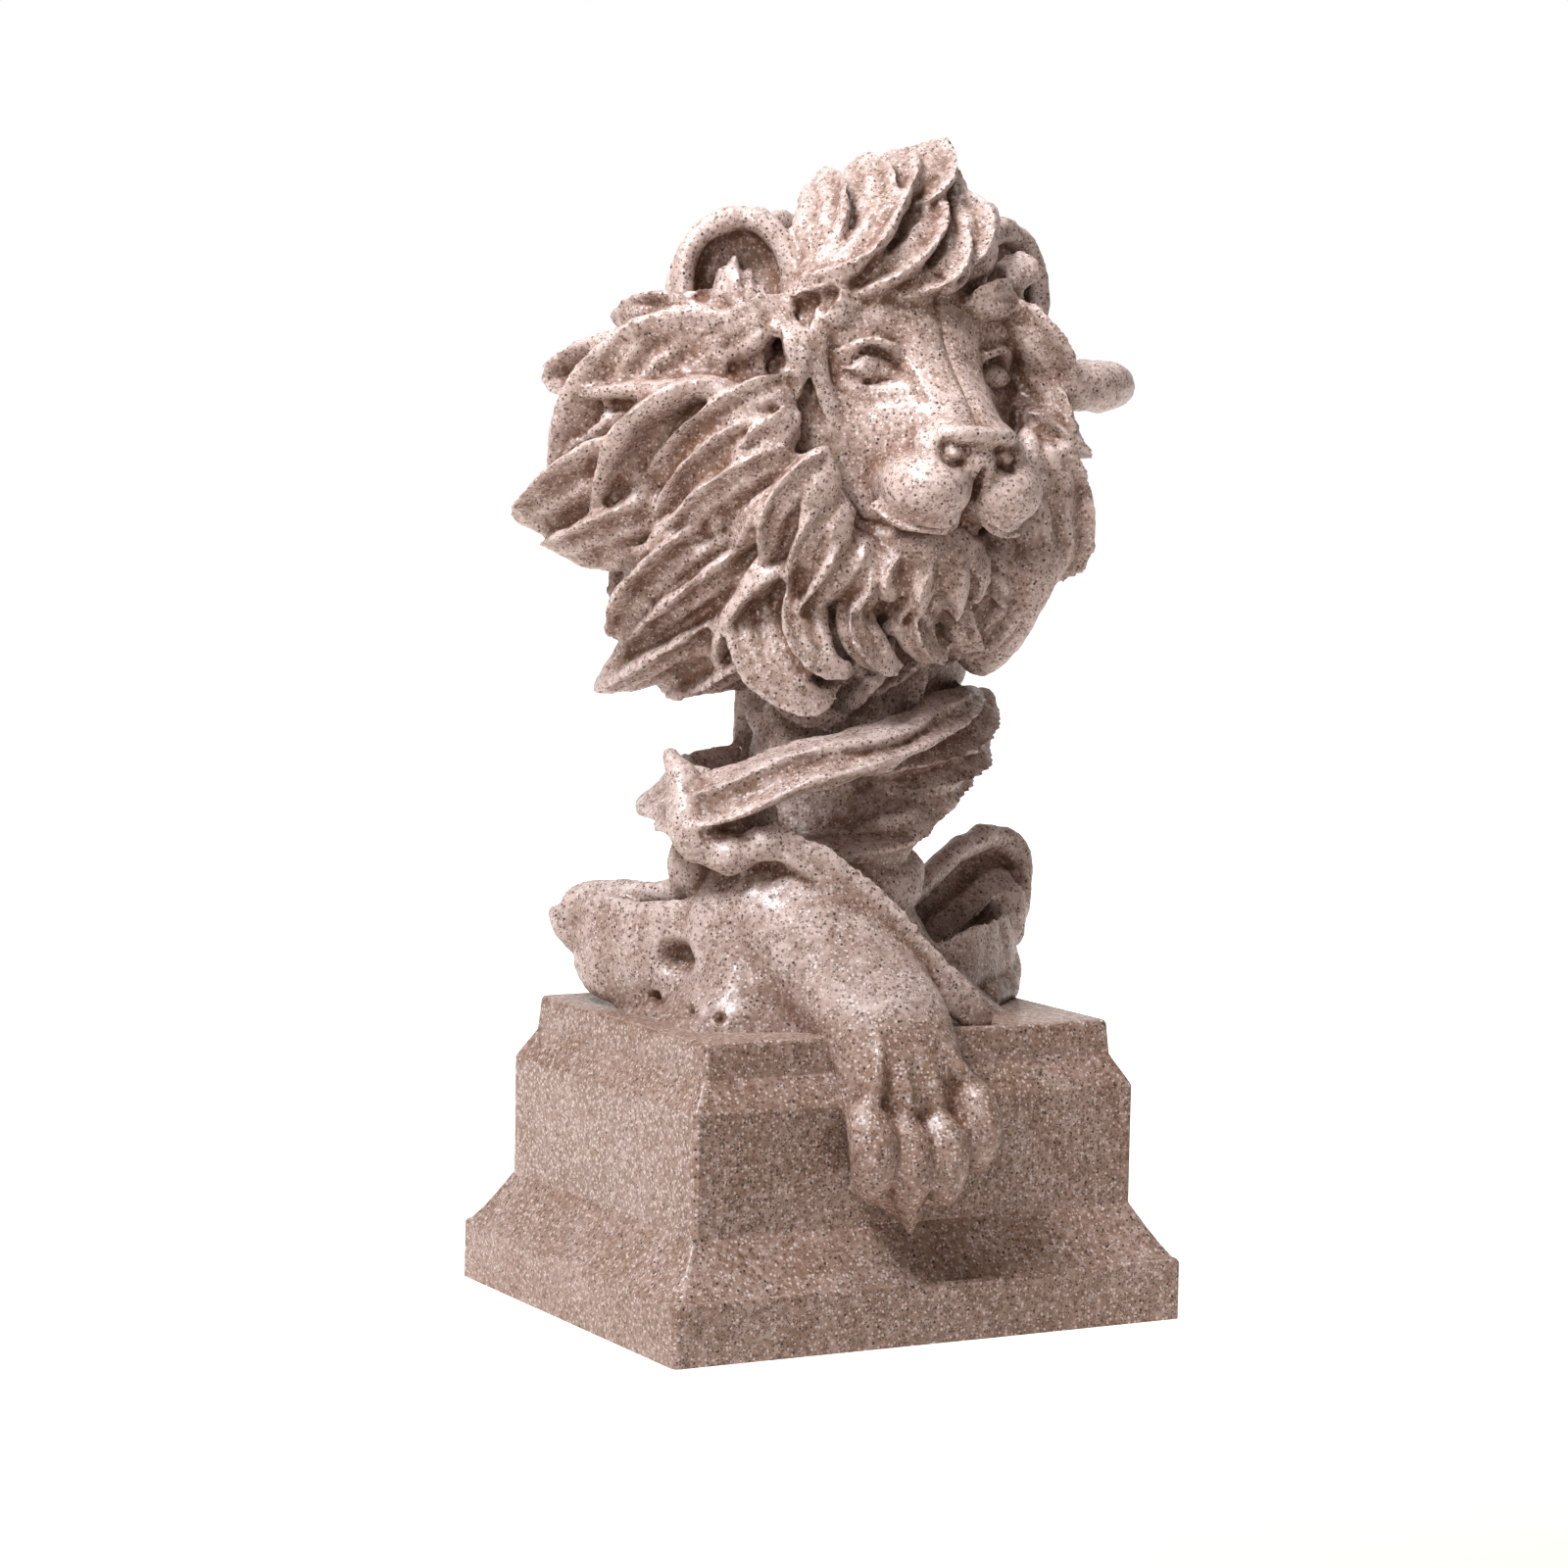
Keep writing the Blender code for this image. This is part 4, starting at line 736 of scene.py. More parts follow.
def drapery():
    collar = [
        (-19.0, 2.0, 23.6), (-19.8, -4.4, 24.2), (-15.8, -8.8, 26.0), (-10, -11.2, 28.8),
        (-2.5, -11.8, 30.4), (7, -9.0, 32.6), (14, -5.6, 34.8), (20.0, 0.0, 36.8),
    ]
    yield drawn(
        collar, 3.8, 3.6, BODY_HUB, BAND, (0.6, 0.9, 1.05, 0.95, 0.9, 0.8, 0.6, 0.35), rings=48,
        segments=36,
    )
    behind = [(-17.5, -5, 24), (-16, 8, 25), (-5, 14, 27), (11, 12, 32), (19.5, 2, 35.5)]
    yield drawn(behind, -4.4, 3.2, BODY_HUB, WAVE, (1.0, 1.0, 0.9, 0.8, 0.5), rings=32)
    for rise, deep in ((1.6, 0.9), (-1.4, 1.1)):
        fold = [
            (-17.0, -8.8, 25.6 + rise), (-9, -12.6, 28.6 + rise * 1.2), (0, -13.4, 30.6 + rise),
            (8, -10.6, 33.4 + rise * 0.5),
        ]
        yield drawn(fold, 0.9, deep, BODY_HUB, WAVE, (0.4, 1.0, 0.8, 1.1, 0.3))
    horn = [(-18.8, -7.8, 19.0), (-20.8, -6.2, 22.8), (-20.4, -4.4, 26.8), (-21.5, -1.6, 30.6)]
    yield drawn(horn, 2.6, 2.6, (-12, 2, 24), ROUND, (0.9, 1.1, 0.8, 0.7, 0.25))
    hem = [
        (-20.6, -5.6, 22.4), (-19.8, -7.4, 20.0), (-17.4, -9.6, 19.3), (-14.8, -11.2, 20.2),
        (-12.6, -12.0, 22.0),
    ]
    yield drawn(hem, 2.0, 2.0, (-6, 0, 24), ROUND, (0.8, 1.15, 0.85, 1.2, 0.9, 1.1, 0.5), rings=32)
    pleats = (((1, -7, 28), (23.0, 0.5, 35.2), 2.0), ((2, -6.5, 26.5), (22.2, 1.0, 31.0), 2.1),
              ((1, -7, 24.5), (18.4, 0, 28.6), 2.1), ((0, -7, 23), (13.4, -3.4, 26.4), 2.1),
              ((-1, -7.5, 21), (7.8, -6.6, 24.2), 2.1))
    for root, tip, width in pleats:
        bend = 0.5 * (np.array(tip) + root) + np.array((2.0, -2.6, -0.8))
        yield drawn(
            [root, bend, tip], width, 2.4, (2, 5, 26), WAVE, (0.6, 0.9, 1, 0.9, 0.35), flutes=1.5,
        )
    for tip in ((10.5, -5.0, 36.0), (23, 0.5, 36.0)):
        yield drawn([(6, 0, 32), (14, -1.5, 34), tip], 2.2, 2.0, (6, 6, 28), WAVE, (1, 1, 0.9, 0.5))
    flap = [(-6, -8.0, 19.0), (2, -9.6, 20.0), (8.8, -8.4, 22.6)]
    yield drawn(flap, 3.0, 2.4, (0, 4, 10), WAVE, (0.8, 1.0, 0.9, 0.3))
    waist = [(-2, -7, 12), (3, -8.4, 14.5), (8.0, -6.0, 17.6)]
    yield drawn(waist, 3.9, 3.2, (0, 4, 8), ROUND, (0.8, 1.0, 1.0, 0.6))
    strap = [
        (-15.5, -10.8, 21.8), (-9, -13.8, 18.6), (-2.4, -16.0, 13.2), (2.6, -17.8, 7.6),
        (7.0, -18.8, 3.0), (11.6, -19.0, -0.8),
    ]
    yield drawn(strap, -2.0, 2.0, (2, 8, -6), WAVE, (0.8, 1, 1, 1, 1.1, 0.7), rings=40)


def fins():
    """The ragged edges of the drapery, which stand out over the plinth's corners."""
    left_edge = [
        (-11, -4, 15.5), (-17.0, 3.5, 13.6), (-20.8, 9.5, 12.8), (-22.4, 13.4, 12.4),
        (-24.2, 17.0, 10.4),
    ]
    yield drawn(
        left_edge, 1.7, 1.7, (-10, 12, 0), ROUND, (0.8, 1.1, 0.85, 1.15, 1.0, 1.35, 1.2), rings=36,
    )
    for rise, turn in ((9.6, 0.0), (6.0, 1.4)):
        ridge = [
            (-11, -9.5 + turn, rise - 2.0), (-17.2, -4.6 + turn, rise),
            (-21.4, 3.0 + turn, rise - 0.6), (-23.4, 10.5, rise - 1.0),
        ]
        yield drawn(ridge, 1.5, 1.2, (-8, 14, 4), WAVE, (0.3, 1.0, 0.8, 1.0, 0.3), rings=30)
    left_tip = [(-24.4, 17.0, 11.0), (-24.2, 16.6, 8.6), (-22.8, 15.4, 5.8)]
    yield drawn(left_tip, 2.2, 2.2, (-10, 12, 4), ROUND, (1, 1, 0.7))
    front = [(10, -8, 2.5), (16, -6.0, 3.6), (22.4, -2.0, 5.0), (27.6, 3.0, 7.0)]
    yield drawn(front, 6.0, 2.4, (16, 18, 6), LEAF, (0.9, 1.0, 0.95, 0.8, 0.5), rings=32, segments=28)
    leaf = [(9, 1, 5.0), (15, 4.2, 8.0), (21.4, 6.6, 11.0), (27.2, 8.4, 13.0), (31.2, 9.0, 12.0)]
    yield drawn(leaf, 5.2, 3.2, (16, 30, 6), LEAF, (0.7, 0.95, 1.0, 0.85, 0.4), rings=32, segments=28)
    rib = [(12, 0.4, 4.5), (18, 2.4, 8.5), (24.6, 5.0, 12.2), (29.6, 7.4, 14.2)]
    yield drawn(rib, 1.7, 2.0, (16, 30, 6), WAVE, (0.5, 1.0, 1.0, 0.9, 0.4), rings=28)
    right_edge = [
        (9.6, -2.6, 11.8), (14.0, 0.4, 14.2), (20.4, 4.2, 17.0), (27.4, 7.6, 18.2),
        (31.6, 8.6, 15.4), (30.6, 6.4, 10.2), (28.4, 4.6, 5.0),
    ]
    yield drawn(right_edge, 1.4, 1.6, (14, 12, 0), ROUND, (0.7, 1, 1.1, 1, 1.1, 0.9, 0.8), rings=40)
    right_foot = [(27.4, 4.4, 4.5), (25, 0.5, 1.5), (18, -7, 0.8)]
    yield drawn(right_foot, 2.0, 2.0, (12, 6, 0), ROUND, (0.8, 1, 0.7))


# The foreleg, which hangs over the front of the plinth

TOES = 4
TOE_PITCH = 4.5
TOE_MIDDLE = -2.3
# Height of each knuckle above the toes' level, and half width of each toe
TOE_ROWS = ((0.4, 2.6), (-1.2, 2.2), (-0.9, 2.3), (2.4, 2.2))
KNUCKLES = -11.0


def leg_masses(cap_front, die_front):
    wrist = -(cap_front + 0.8)
    paw_front = -(die_front + 1.2)
    leg = [
        (-11, -5, 17.5), (-8, -11.5, 12), (-5.0, -16.5, 5.6), (-3.0, wrist, -1),
        (-2.3, paw_front, -11),
    ]
    yield drawn(leg, 8.0, 4.8, (0, 30, -10), ROUND, (1.0, 1.05, 1.0, 0.95, 1.0), rings=32)


def paw(cap_front, die_front):
    """Knuckles, tendons, pads and a claw."""
    wrist = -(cap_front + 2.2)
    front = -(die_front + 3.2)
    for toe, (drop, wide) in enumerate(TOE_ROWS):
        offset = toe - 0.5 * (TOES - 1)
        bulge = front - 1.6 + 0.35 * offset**2
        knuckle = np.array([TOE_MIDDLE + TOE_PITCH * offset, bulge, KNUCKLES + drop])
        steps = ((-0.3, 1.8, 3.6), (0, -0.9, 0.6), (0.2, -1.2, -2.6), (0.4, 0.6, -6.4))
        route = [knuckle + step for step in steps]
        yield drawn(route, wide, 2.5, knuckle + (0, 6, 0), ROUND, (0.7, 1.0, 1.08, 0.95, 0.55))
        tendon = [
            (-6 + toe * 2.0, -18.0, 7.5 - toe * 0.6), (-7.0 + toe * 2.7, wrist - 1.5, -0.8),
            knuckle + (0, -0.2, 2.6),
        ]
        yield drawn(tendon, 0.95, 1.6, knuckle + (0, 12, 0), ROUND, (0.3, 1.0, 0.85, 1.1, 0.8))
    for x, z, deep in ((-6.4, -16.4, 2.2), (-3.4, -17.4, 2.8), (0.8, -16.8, 2.6)):
        yield blob((x, front + 2.2, z), (2.6, 3.2, deep))
    claw = [(-4.2, front + 0.5, -17), (-3.3, front - 0.4, -19.2), (-2.4, front + 0.8, -22.0)]
    yield drawn(claw, 1.7, 1.7, (-4, 0, -17), ROUND, (1.0, 0.8, 0.2), rings=16, segments=14)


# Clay in Blender: each form is a primitive ball, and the balls of a group are joined

# Rounds of smoothing for the masses and for the skin, and how much coarser the masses are fused
FLESH_ROUNDS = 14
SKIN_ROUNDS = 3
FLESH_STEP = 1.3
SMOOTH_ANGLE = math.radians(38.0)
# The attribute 'hollow' where the resin is neither hollow nor raised
PLAIN = 0.4
# How close a point lies to the plinth's planes to count as on them
TOUCH = 0.00002


def pick(*objects):
    """Selects only these objects, with the first one active."""
    bpy.ops.object.select_all(action="DESELECT")
    for obj in objects:
        obj.select_set(True)
    bpy.context.view_layer.objects.active = objects[0]


def read_points(mesh, kind="co"):
    """The mesh's points, or its normals."""
    points = np.empty(len(mesh.vertices) * 3)
    mesh.vertices.foreach_get(kind, points)
    return points.reshape(-1, 3)


def write_points(mesh, points):
    mesh.vertices.foreach_set("co", np.ascontiguousarray(points).ravel())
    mesh.update()


def model(name, forms, sizes):
    """Adds a ball for each form, moves its points and joins the balls under one name."""
    rise = np.array((0.0, 0.0, sizes.plinth_height()))
    balls = []
    for place, rings, segments in forms:
        bpy.ops.mesh.primitive_uv_sphere_add(segments=segments, ring_count=rings, radius=1.0)
        ball = bpy.context.object
        write_points(ball.data, place(read_points(ball.data)) * sizes.unit() + rise)
        balls.append(ball)
    pick(*balls)
    if len(balls) > 1:
        bpy.ops.object.join()
    group = bpy.context.object
    group.name = name
    return group


def select_faces(obj, chosen):
    """Opens edit mode with only these faces selected."""
    pick(obj)
    bpy.ops.object.mode_set(mode="EDIT")
    bpy.ops.mesh.select_mode(type="FACE")
    bpy.ops.mesh.select_all(action="DESELECT")
    bpy.ops.object.mode_set(mode="OBJECT")
    obj.data.polygons.foreach_set("select", chosen)
    bpy.ops.object.mode_set(mode="EDIT")


def add_modifier(obj, kind, **settings):
    """Adds a modifier with these settings and applies it."""
    pick(obj)
    bpy.ops.object.modifier_add(type=kind)
    modifier = obj.modifiers[-1]
    for setting, value in settings.items():
        setattr(modifier, setting, value)
    bpy.ops.object.modifier_apply(modifier=modifier.name)


def fuse(obj, step, rounds):
    """Fuses overlapping clay into one skin and smooths it."""
    add_modifier(obj, "REMESH", mode="VOXEL", voxel_size=step, use_smooth_shade=True)
    add_modifier(obj, "SMOOTH", factor=0.5, iterations=rounds)


class LION_OT_head(bpy.types.Operator):
    """Models the head, its face and its ears"""

    bl_idname = "lion.head"
    bl_label = "Head"

    def execute(self, context):
        sizes = context.scene.lion_sizes
        model("head mass", head_masses(), sizes)
        model("head details", [*head_details(), *ear(-1), *ear(1)], sizes)
        return {"FINISHED"}


class LION_OT_mane(bpy.types.Operator):
    """Models the mane's mass and its locks"""

    bl_idname = "lion.mane"
    bl_label = "Mane"

    def execute(self, context):
        sizes = context.scene.lion_sizes
        model("mane mass", mane_masses(), sizes)
        model("mane locks", [*mane_locks(), *throat_locks(), *back_locks()], sizes)
        return {"FINISHED"}


class LION_OT_drapery(bpy.types.Operator):
    """Models the neck, the post and the drapery"""

    bl_idname = "lion.drapery"
    bl_label = "Drapery"

    def execute(self, context):
        sizes = context.scene.lion_sizes
        model("body mass", body_masses(), sizes)
        model("drapery folds", [*post(), *drapery(), *fins()], sizes)
        return {"FINISHED"}


class LION_OT_foreleg(bpy.types.Operator):
    """Models the foreleg and its paw"""

    bl_idname = "lion.foreleg"
    bl_label = "Foreleg"

    def execute(self, context):
        sizes = context.scene.lion_sizes
        fronts = sizes.cap_front(), sizes.die_front()
        model("leg mass", leg_masses(*fronts), sizes)
        model("paw details", paw(*fronts), sizes)
        return {"FINISHED"}


# Shares of each moulding's inset at which it bends, and the power of its curve
SLOPE_STEPS = (0.3, 0.6, 0.85)
SLOPE_HOLLOW = 1.15
SHOULDER_STEPS = (0.4, 0.75)
SHOULDER_HOLLOW = 1.2
# Where the middle of a rounded arris stands, and how far the die's one drops, as shares of
# its radius
ARRIS_MIDDLE = 0.3
DIE_ARRIS_DROP = 0.2


def plinth_profile(sizes):
    """Insets and heights of the plinth's mouldings above its foot, going up."""
    arris = sizes.arris
    die_bottom = sizes.base_height + sizes.slope_height
    die_top = die_bottom + sizes.die_height
    cap_bottom = die_top + sizes.shoulder_height
    cap_top = cap_bottom + sizes.cap_height
    cap_inset = sizes.die_inset + sizes.shoulder_inset
    top_inset = cap_inset + sizes.cap_taper
    turn = arris * ARRIS_MIDDLE
    yield turn, sizes.base_height - turn
    yield arris, sizes.base_height
    for share in SLOPE_STEPS:
        inset = arris + (sizes.die_inset - arris) * share
        yield inset, sizes.base_height + sizes.slope_height * share**SLOPE_HOLLOW
    yield sizes.die_inset, die_bottom
    yield sizes.die_inset, die_top - arris
    yield sizes.die_inset + turn, die_top - arris * DIE_ARRIS_DROP
    for share in SHOULDER_STEPS:
        inset = sizes.die_inset + sizes.shoulder_inset * share
        yield inset, die_top + sizes.shoulder_height * share**SHOULDER_HOLLOW
    yield cap_inset, cap_bottom
    yield top_inset, cap_top - arris
    yield top_inset + turn, cap_top - turn
    yield top_inset + arris, cap_top


class LION_OT_plinth(bpy.types.Operator):
    """Models the moulded plinth"""

    bl_idname = "lion.plinth"
    bl_label = "Plinth"

    def execute(self, context):
        sizes = context.scene.lion_sizes
        foot = sizes.base_height - sizes.arris
        bpy.ops.mesh.primitive_cube_add(size=1.0, location=(0, 0, foot / 2))
        plinth = bpy.context.object
        plinth.name = "plinth"
        plinth.scale = (sizes.base_width, sizes.base_depth, foot)
        bpy.ops.object.transform_apply(location=True, rotation=False, scale=True)
        select_faces(plinth, [facet.normal.z > 0.5 for facet in plinth.data.polygons])
        width, depth, height = sizes.base_width, sizes.base_depth, foot
        for inset, level in plinth_profile(sizes):
            new_width, new_depth = sizes.base_width - 2 * inset, sizes.base_depth - 2 * inset
            bpy.ops.mesh.extrude_region_move(TRANSFORM_OT_translate={"value": (0, 0, level - height)})
            bpy.ops.transform.resize(value=(new_width / width, new_depth / depth, 1.0))
            width, depth, height = new_width, new_depth, level
        bpy.ops.mesh.select_mode(type="EDGE")
        bpy.ops.mesh.select_all(action="DESELECT")
        bpy.ops.object.mode_set(mode="OBJECT")
        for edge in plinth.data.edges:
            low, high = (plinth.data.vertices[k].co for k in edge.vertices)
            edge.select = low.x * high.x > 0 and low.y * high.y > 0
        bpy.ops.object.mode_set(mode="EDIT")
        bpy.ops.mesh.bevel(offset=sizes.corner_radius, segments=3, affect="EDGES")
        bpy.ops.object.mode_set(mode="OBJECT")
        write_hollows(plinth.data, np.full(len(plinth.data.vertices), PLAIN))
        return {"FINISHED"}


def joined(*names):
    """Joins the objects of these names into the first."""
    parts = [bpy.data.objects[name] for name in names]
    pick(*parts)
    bpy.ops.object.join()
    return bpy.context.object


def flatten_plinth(figure, sizes):
    """Shades the plinth's plane faces flat, so that its mouldings stay crisp."""
    points = read_points(figure.data)
    profile = [(0.0, 0.0), (0.0, sizes.base_height - sizes.arris), *plinth_profile(sizes)]
    insets, levels = zip(*profile)
    inset = np.interp(points[:, 2], levels, insets)
    aside = np.abs(points[:, 0]) - (sizes.base_width / 2 - inset)
    ahead = np.abs(points[:, 1]) - (sizes.base_depth / 2 - inset)
    plane = np.abs(np.maximum(aside, ahead)) < TOUCH
    plane |= np.abs(points[:, 2] - sizes.plinth_height()) < TOUCH
    plane |= points[:, 2] < TOUCH
    select_faces(figure, [all(plane[k] for k in facet.vertices) for facet in figure.data.polygons])
    bpy.ops.mesh.faces_shade_flat()
    bpy.ops.object.mode_set(mode="OBJECT")


class LION_OT_cast(bpy.types.Operator):
    """Fuses the clay, carves its fine lines and casts it in one with the plinth"""

    bl_idname = "lion.cast"
    bl_label = "Cast"

    def execute(self, context):
        sizes = context.scene.lion_sizes
        flesh = joined("head mass", "mane mass", "body mass", "leg mass")
        fuse(flesh, sizes.clay_grain * FLESH_STEP, FLESH_ROUNDS)
        figure = joined("mane locks", "head details", "drapery folds", "paw details", flesh.name)
        fuse(figure, sizes.clay_grain, SKIN_ROUNDS)
        carve(figure, sizes)
        note_hollows(figure, sizes)
        triangles = sum(len(facet.vertices) - 2 for facet in figure.data.polygons)
        add_modifier(figure, "DECIMATE", ratio=min(1.0, sizes.most_triangles / triangles))
        plinth = bpy.data.objects["plinth"]
        add_modifier(figure, "BOOLEAN", operation="UNION", object=plinth)
        bpy.data.objects.remove(plinth)
        figure.name = CAST
        pick(figure)
        bpy.ops.object.shade_smooth_by_angle(angle=SMOOTH_ANGLE)
        flatten_plinth(figure, sizes)
        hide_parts(NODE)
        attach(figure, "root")
        return {"FINISHED"}


# Carving: fine lines cut into the fused skin, as routes on the face or the figure

FAR = 3.0
# Route across the face, half width, depth
FACE_CUTS = (
    ([(12.4, 1.2), (9.2, 3.2), (5.4, 2.2)], 0.40, 0.50),
    ([(11.6, -0.6), (9.0, 1.15), (6.0, 0.1)], 0.32, 0.85),
    ([(11.6, -1.4), (9.0, -2.35), (6.0, -1.3)], 0.30, 0.70),
    ([(6.1, -0.4), (5.3, -1.2), (5.0, -3.8)], 0.36, 0.60),
    ([(11.8, -3.4), (8.8, -4.4), (5.6, -3.6)], 0.45, 0.30),
    ([(4.6, -9.0), (5.1, -10.0), (3.8, -11.0), (2.6, -10.6)], 0.55, 1.10),
    ([(0.6, -17.2), (4.2, -18.6), (8.0, -17.9), (10.4, -15.8)], 0.45, 0.70),
)
MIDDLE_CUTS = (
    ([(-1.4, 10.0), (-0.7, 5.0), (-0.3, 1.0), (0.0, -3.0), (0.0, -6.0)], 0.45, 0.45),
    ([(0.0, -11.6), (0.0, -14.6), (0.0, -17.2)], 0.50, 1.20),
)
# Pits in the cloth at the lion's right side: place along it and height, half width and depth
PIT_HEADING = math.radians(-29.0)
PITS = (
    ((-16.7, 6.9), 1.8, 2.4), ((-18.9, 2.1), 0.6, 1.3), ((-14.8, 1.7), 0.65, 1.4),
    ((-11.2, 1.4), 0.55, 1.2),
)
# The deepest that any carving goes
DEEPEST = 2.4
# Fine relief of worked clay: size of its lumps in figure units, and their height
RELIEF = ((5.2, 0.13), (2.3, 0.06), (1.0, 0.025))
RELIEF_SEED = 8
# Waves of each size, and how far each one bends
WAVES = 7
BEND = 2.0
# The face, where the relief is calmer: how much, how far forward it starts, half its width,
# half its height and the height of its middle
FACE_CALM = 0.35
FACE_FRONT = 4.0
CALM_WIDE = 13.0
CALM_HIGH = 16.0
CALM_MIDDLE = -4.0
# The paw, which is calmer too: where it starts, going forward and down, and over what lengths
PAW_FRONT = -15.0
PAW_TOP = 14.0
PAW_FADE_AHEAD = 4.0
PAW_FADE_DOWN = 8.0
# Rounds of smoothing that find the small and the large hollows, and the weight of each
HOLLOW_ROUNDS = ((12, 1.0), (48, 0.6))
HOLLOW_GAIN = 2.2


def distance_to(points, route):
    """How far each point is from a smooth route."""
    line, _ = along(route, np.linspace(0, 1, 8 * len(route)))
    away = np.full(len(points), FAR)
    close = ((points > line.min(0) - FAR) & (points < line.max(0) + FAR)).all(1)
    found = away[close]
    for start, end in zip(line, line[1:]):
        span = end - start
        share = np.clip((points[close] - start) @ span / max(span @ span, 1e-12), 0, 1)
        found = np.minimum(found, np.linalg.norm(points[close] - start - share[:, None] * span, axis=1))
    away[close] = found
    return away


def cuts():
    """Every line of the face, on both of its halves."""
    for side in (-1, 1):
        for route, width, depth in FACE_CUTS:
            yield [(side * right, up, 0.0) for right, up in route], width, depth
    for route, width, depth in MIDDLE_CUTS:
        yield [(right, up, 0.0) for right, up in route], width, depth


def on_front(points):
    """Places across the face and up it, and how far forward each one is."""
    right, forward, up = ((points - FACE_ORIGIN) @ face_axes().T).T
    return np.stack([right, up, np.zeros(len(points))], 1), forward


def lumps(points):
    """Uneven relief: waves of three sizes that cross at random angles."""
    dice = np.random.default_rng(RELIEF_SEED)
    found = np.zeros(len(points))
    for size, height in RELIEF:
        for _ in range(WAVES):
            heading = unit(dice.normal(size=3))
            phase = dice.uniform(0, 2 * math.pi)
            bend = np.sin(points @ unit(dice.normal(size=3)) / size + phase)
            turn = 2 * math.pi * (points @ heading) / size + BEND * bend + phase
            found += height / WAVES**0.5 * np.sin(turn)
    return found


def carve(figure, sizes):
    """Cuts each line and pit into the skin, and gives all of it the relief of worked clay."""
    rise = np.array((0.0, 0.0, sizes.plinth_height()))
    points = (read_points(figure.data) - rise) / sizes.unit()
    across, forward = on_front(points)
    normals = read_points(figure.data, "normal")
    facing = np.clip((normals @ face_axes()[1]) * 2.0 - 0.2, 0, 1) * (forward > FACE_FRONT)
    sunk = np.zeros(len(points))
    for route, width, depth in cuts():
        sunk += facing * depth * np.exp(-((distance_to(across, route) / width) ** 2))
    ahead = np.array((math.sin(PIT_HEADING), -math.cos(PIT_HEADING), 0.0))
    along_cloth = points @ (math.cos(PIT_HEADING), math.sin(PIT_HEADING), 0.0)
    for (place, height), width, depth in PITS:
        away = np.hypot(along_cloth - place, points[:, 2] - height)
        sunk += (normals @ ahead > 0.2) * depth * np.exp(-((away / width) ** 4))
    aside, above = across[:, 0] / CALM_WIDE, (across[:, 1] - CALM_MIDDLE) / CALM_HIGH
    smooth_face = np.exp(-(aside**6)) * np.exp(-(above**6)) * (forward > FACE_FRONT)
    paw_ahead = np.clip((PAW_FRONT - points[:, 1]) / PAW_FADE_AHEAD, 0, 1)
    paw_down = np.clip((PAW_TOP - points[:, 2]) / PAW_FADE_DOWN, 0, 1)
    calm = np.maximum(smooth_face, paw_ahead * paw_down)
    sunk += lumps(points) * (1 - (1 - FACE_CALM) * calm)
    points = points - normals * np.minimum(sunk, DEEPEST)[:, None]
    write_points(figure.data, points * sizes.unit() + rise)


def write_hollows(mesh, values):
    attribute = mesh.attributes.new("hollow", "FLOAT", "POINT")
    attribute.data.foreach_set("value", values.astype(np.float32))


def note_hollows(figure, sizes):
    """Writes the attribute 'hollow': above a half in hollows, below it on ridges. The resin uses it to
    paint shade into the hollows and a highlight onto the figure's ridges.
    """
    mesh = figure.data
    points = read_points(mesh)
    normals = read_points(mesh, "normal")
    ends = np.empty(len(mesh.edges) * 2, int)
    mesh.edges.foreach_get("vertices", ends)
    first, second = ends.reshape(-1, 2).T
    ends = np.concatenate([first, second])
    others = np.concatenate([second, first])
    count = np.maximum(np.bincount(ends, minlength=len(points)), 1)

    def spread(values):
        """The mean of each point's neighbours."""
        sums = [np.bincount(ends, column[others], minlength=len(points)) for column in values.T]
        return np.stack(sums, 1) / count[:, None]

    blurred = points
    found = np.zeros(len(points))
    for rounds, weight in HOLLOW_ROUNDS:
        for _ in range(rounds):
            blurred = 0.5 * blurred + 0.5 * spread(blurred)
        found += weight * ((blurred - points) * normals).sum(1) / sizes.unit()
    value = 0.5 + 0.5 * np.tanh(found * HOLLOW_GAIN)
    for _ in range(2):
        value = 0.5 * value + 0.5 * spread(value[:, None])[:, 0]
    write_hollows(mesh, value)


# The resin, built from arithmetic on sockets


class Wire:
    """An output socket, with arithmetic that adds Math nodes."""

    def __init__(self, shader, socket):
        self.shader = shader
        self.socket = socket

    def math(self, operation, *values):
        return self.shader.node("ShaderNodeMath", {"operation": operation}, *values)

    def __add__(self, other):
        return self.math("ADD", self, other)

    def __radd__(self, other):
        return self.math("ADD", other, self)

    def __sub__(self, other):
        return self.math("SUBTRACT", self, other)

    def __rsub__(self, other):
        return self.math("SUBTRACT", other, self)

    def __mul__(self, other):
        return self.math("MULTIPLY", self, other)

    def __rmul__(self, other):
        return self.math("MULTIPLY", other, self)

    def step(self, low, high):
        """0 below low and 1 above high, smoothly."""
        settings = {"interpolation_type": "SMOOTHSTEP"}
        return self.shader.node(
            "ShaderNodeMapRange", settings, Value=self, **{"From Min": low, "From Max": high},
        )


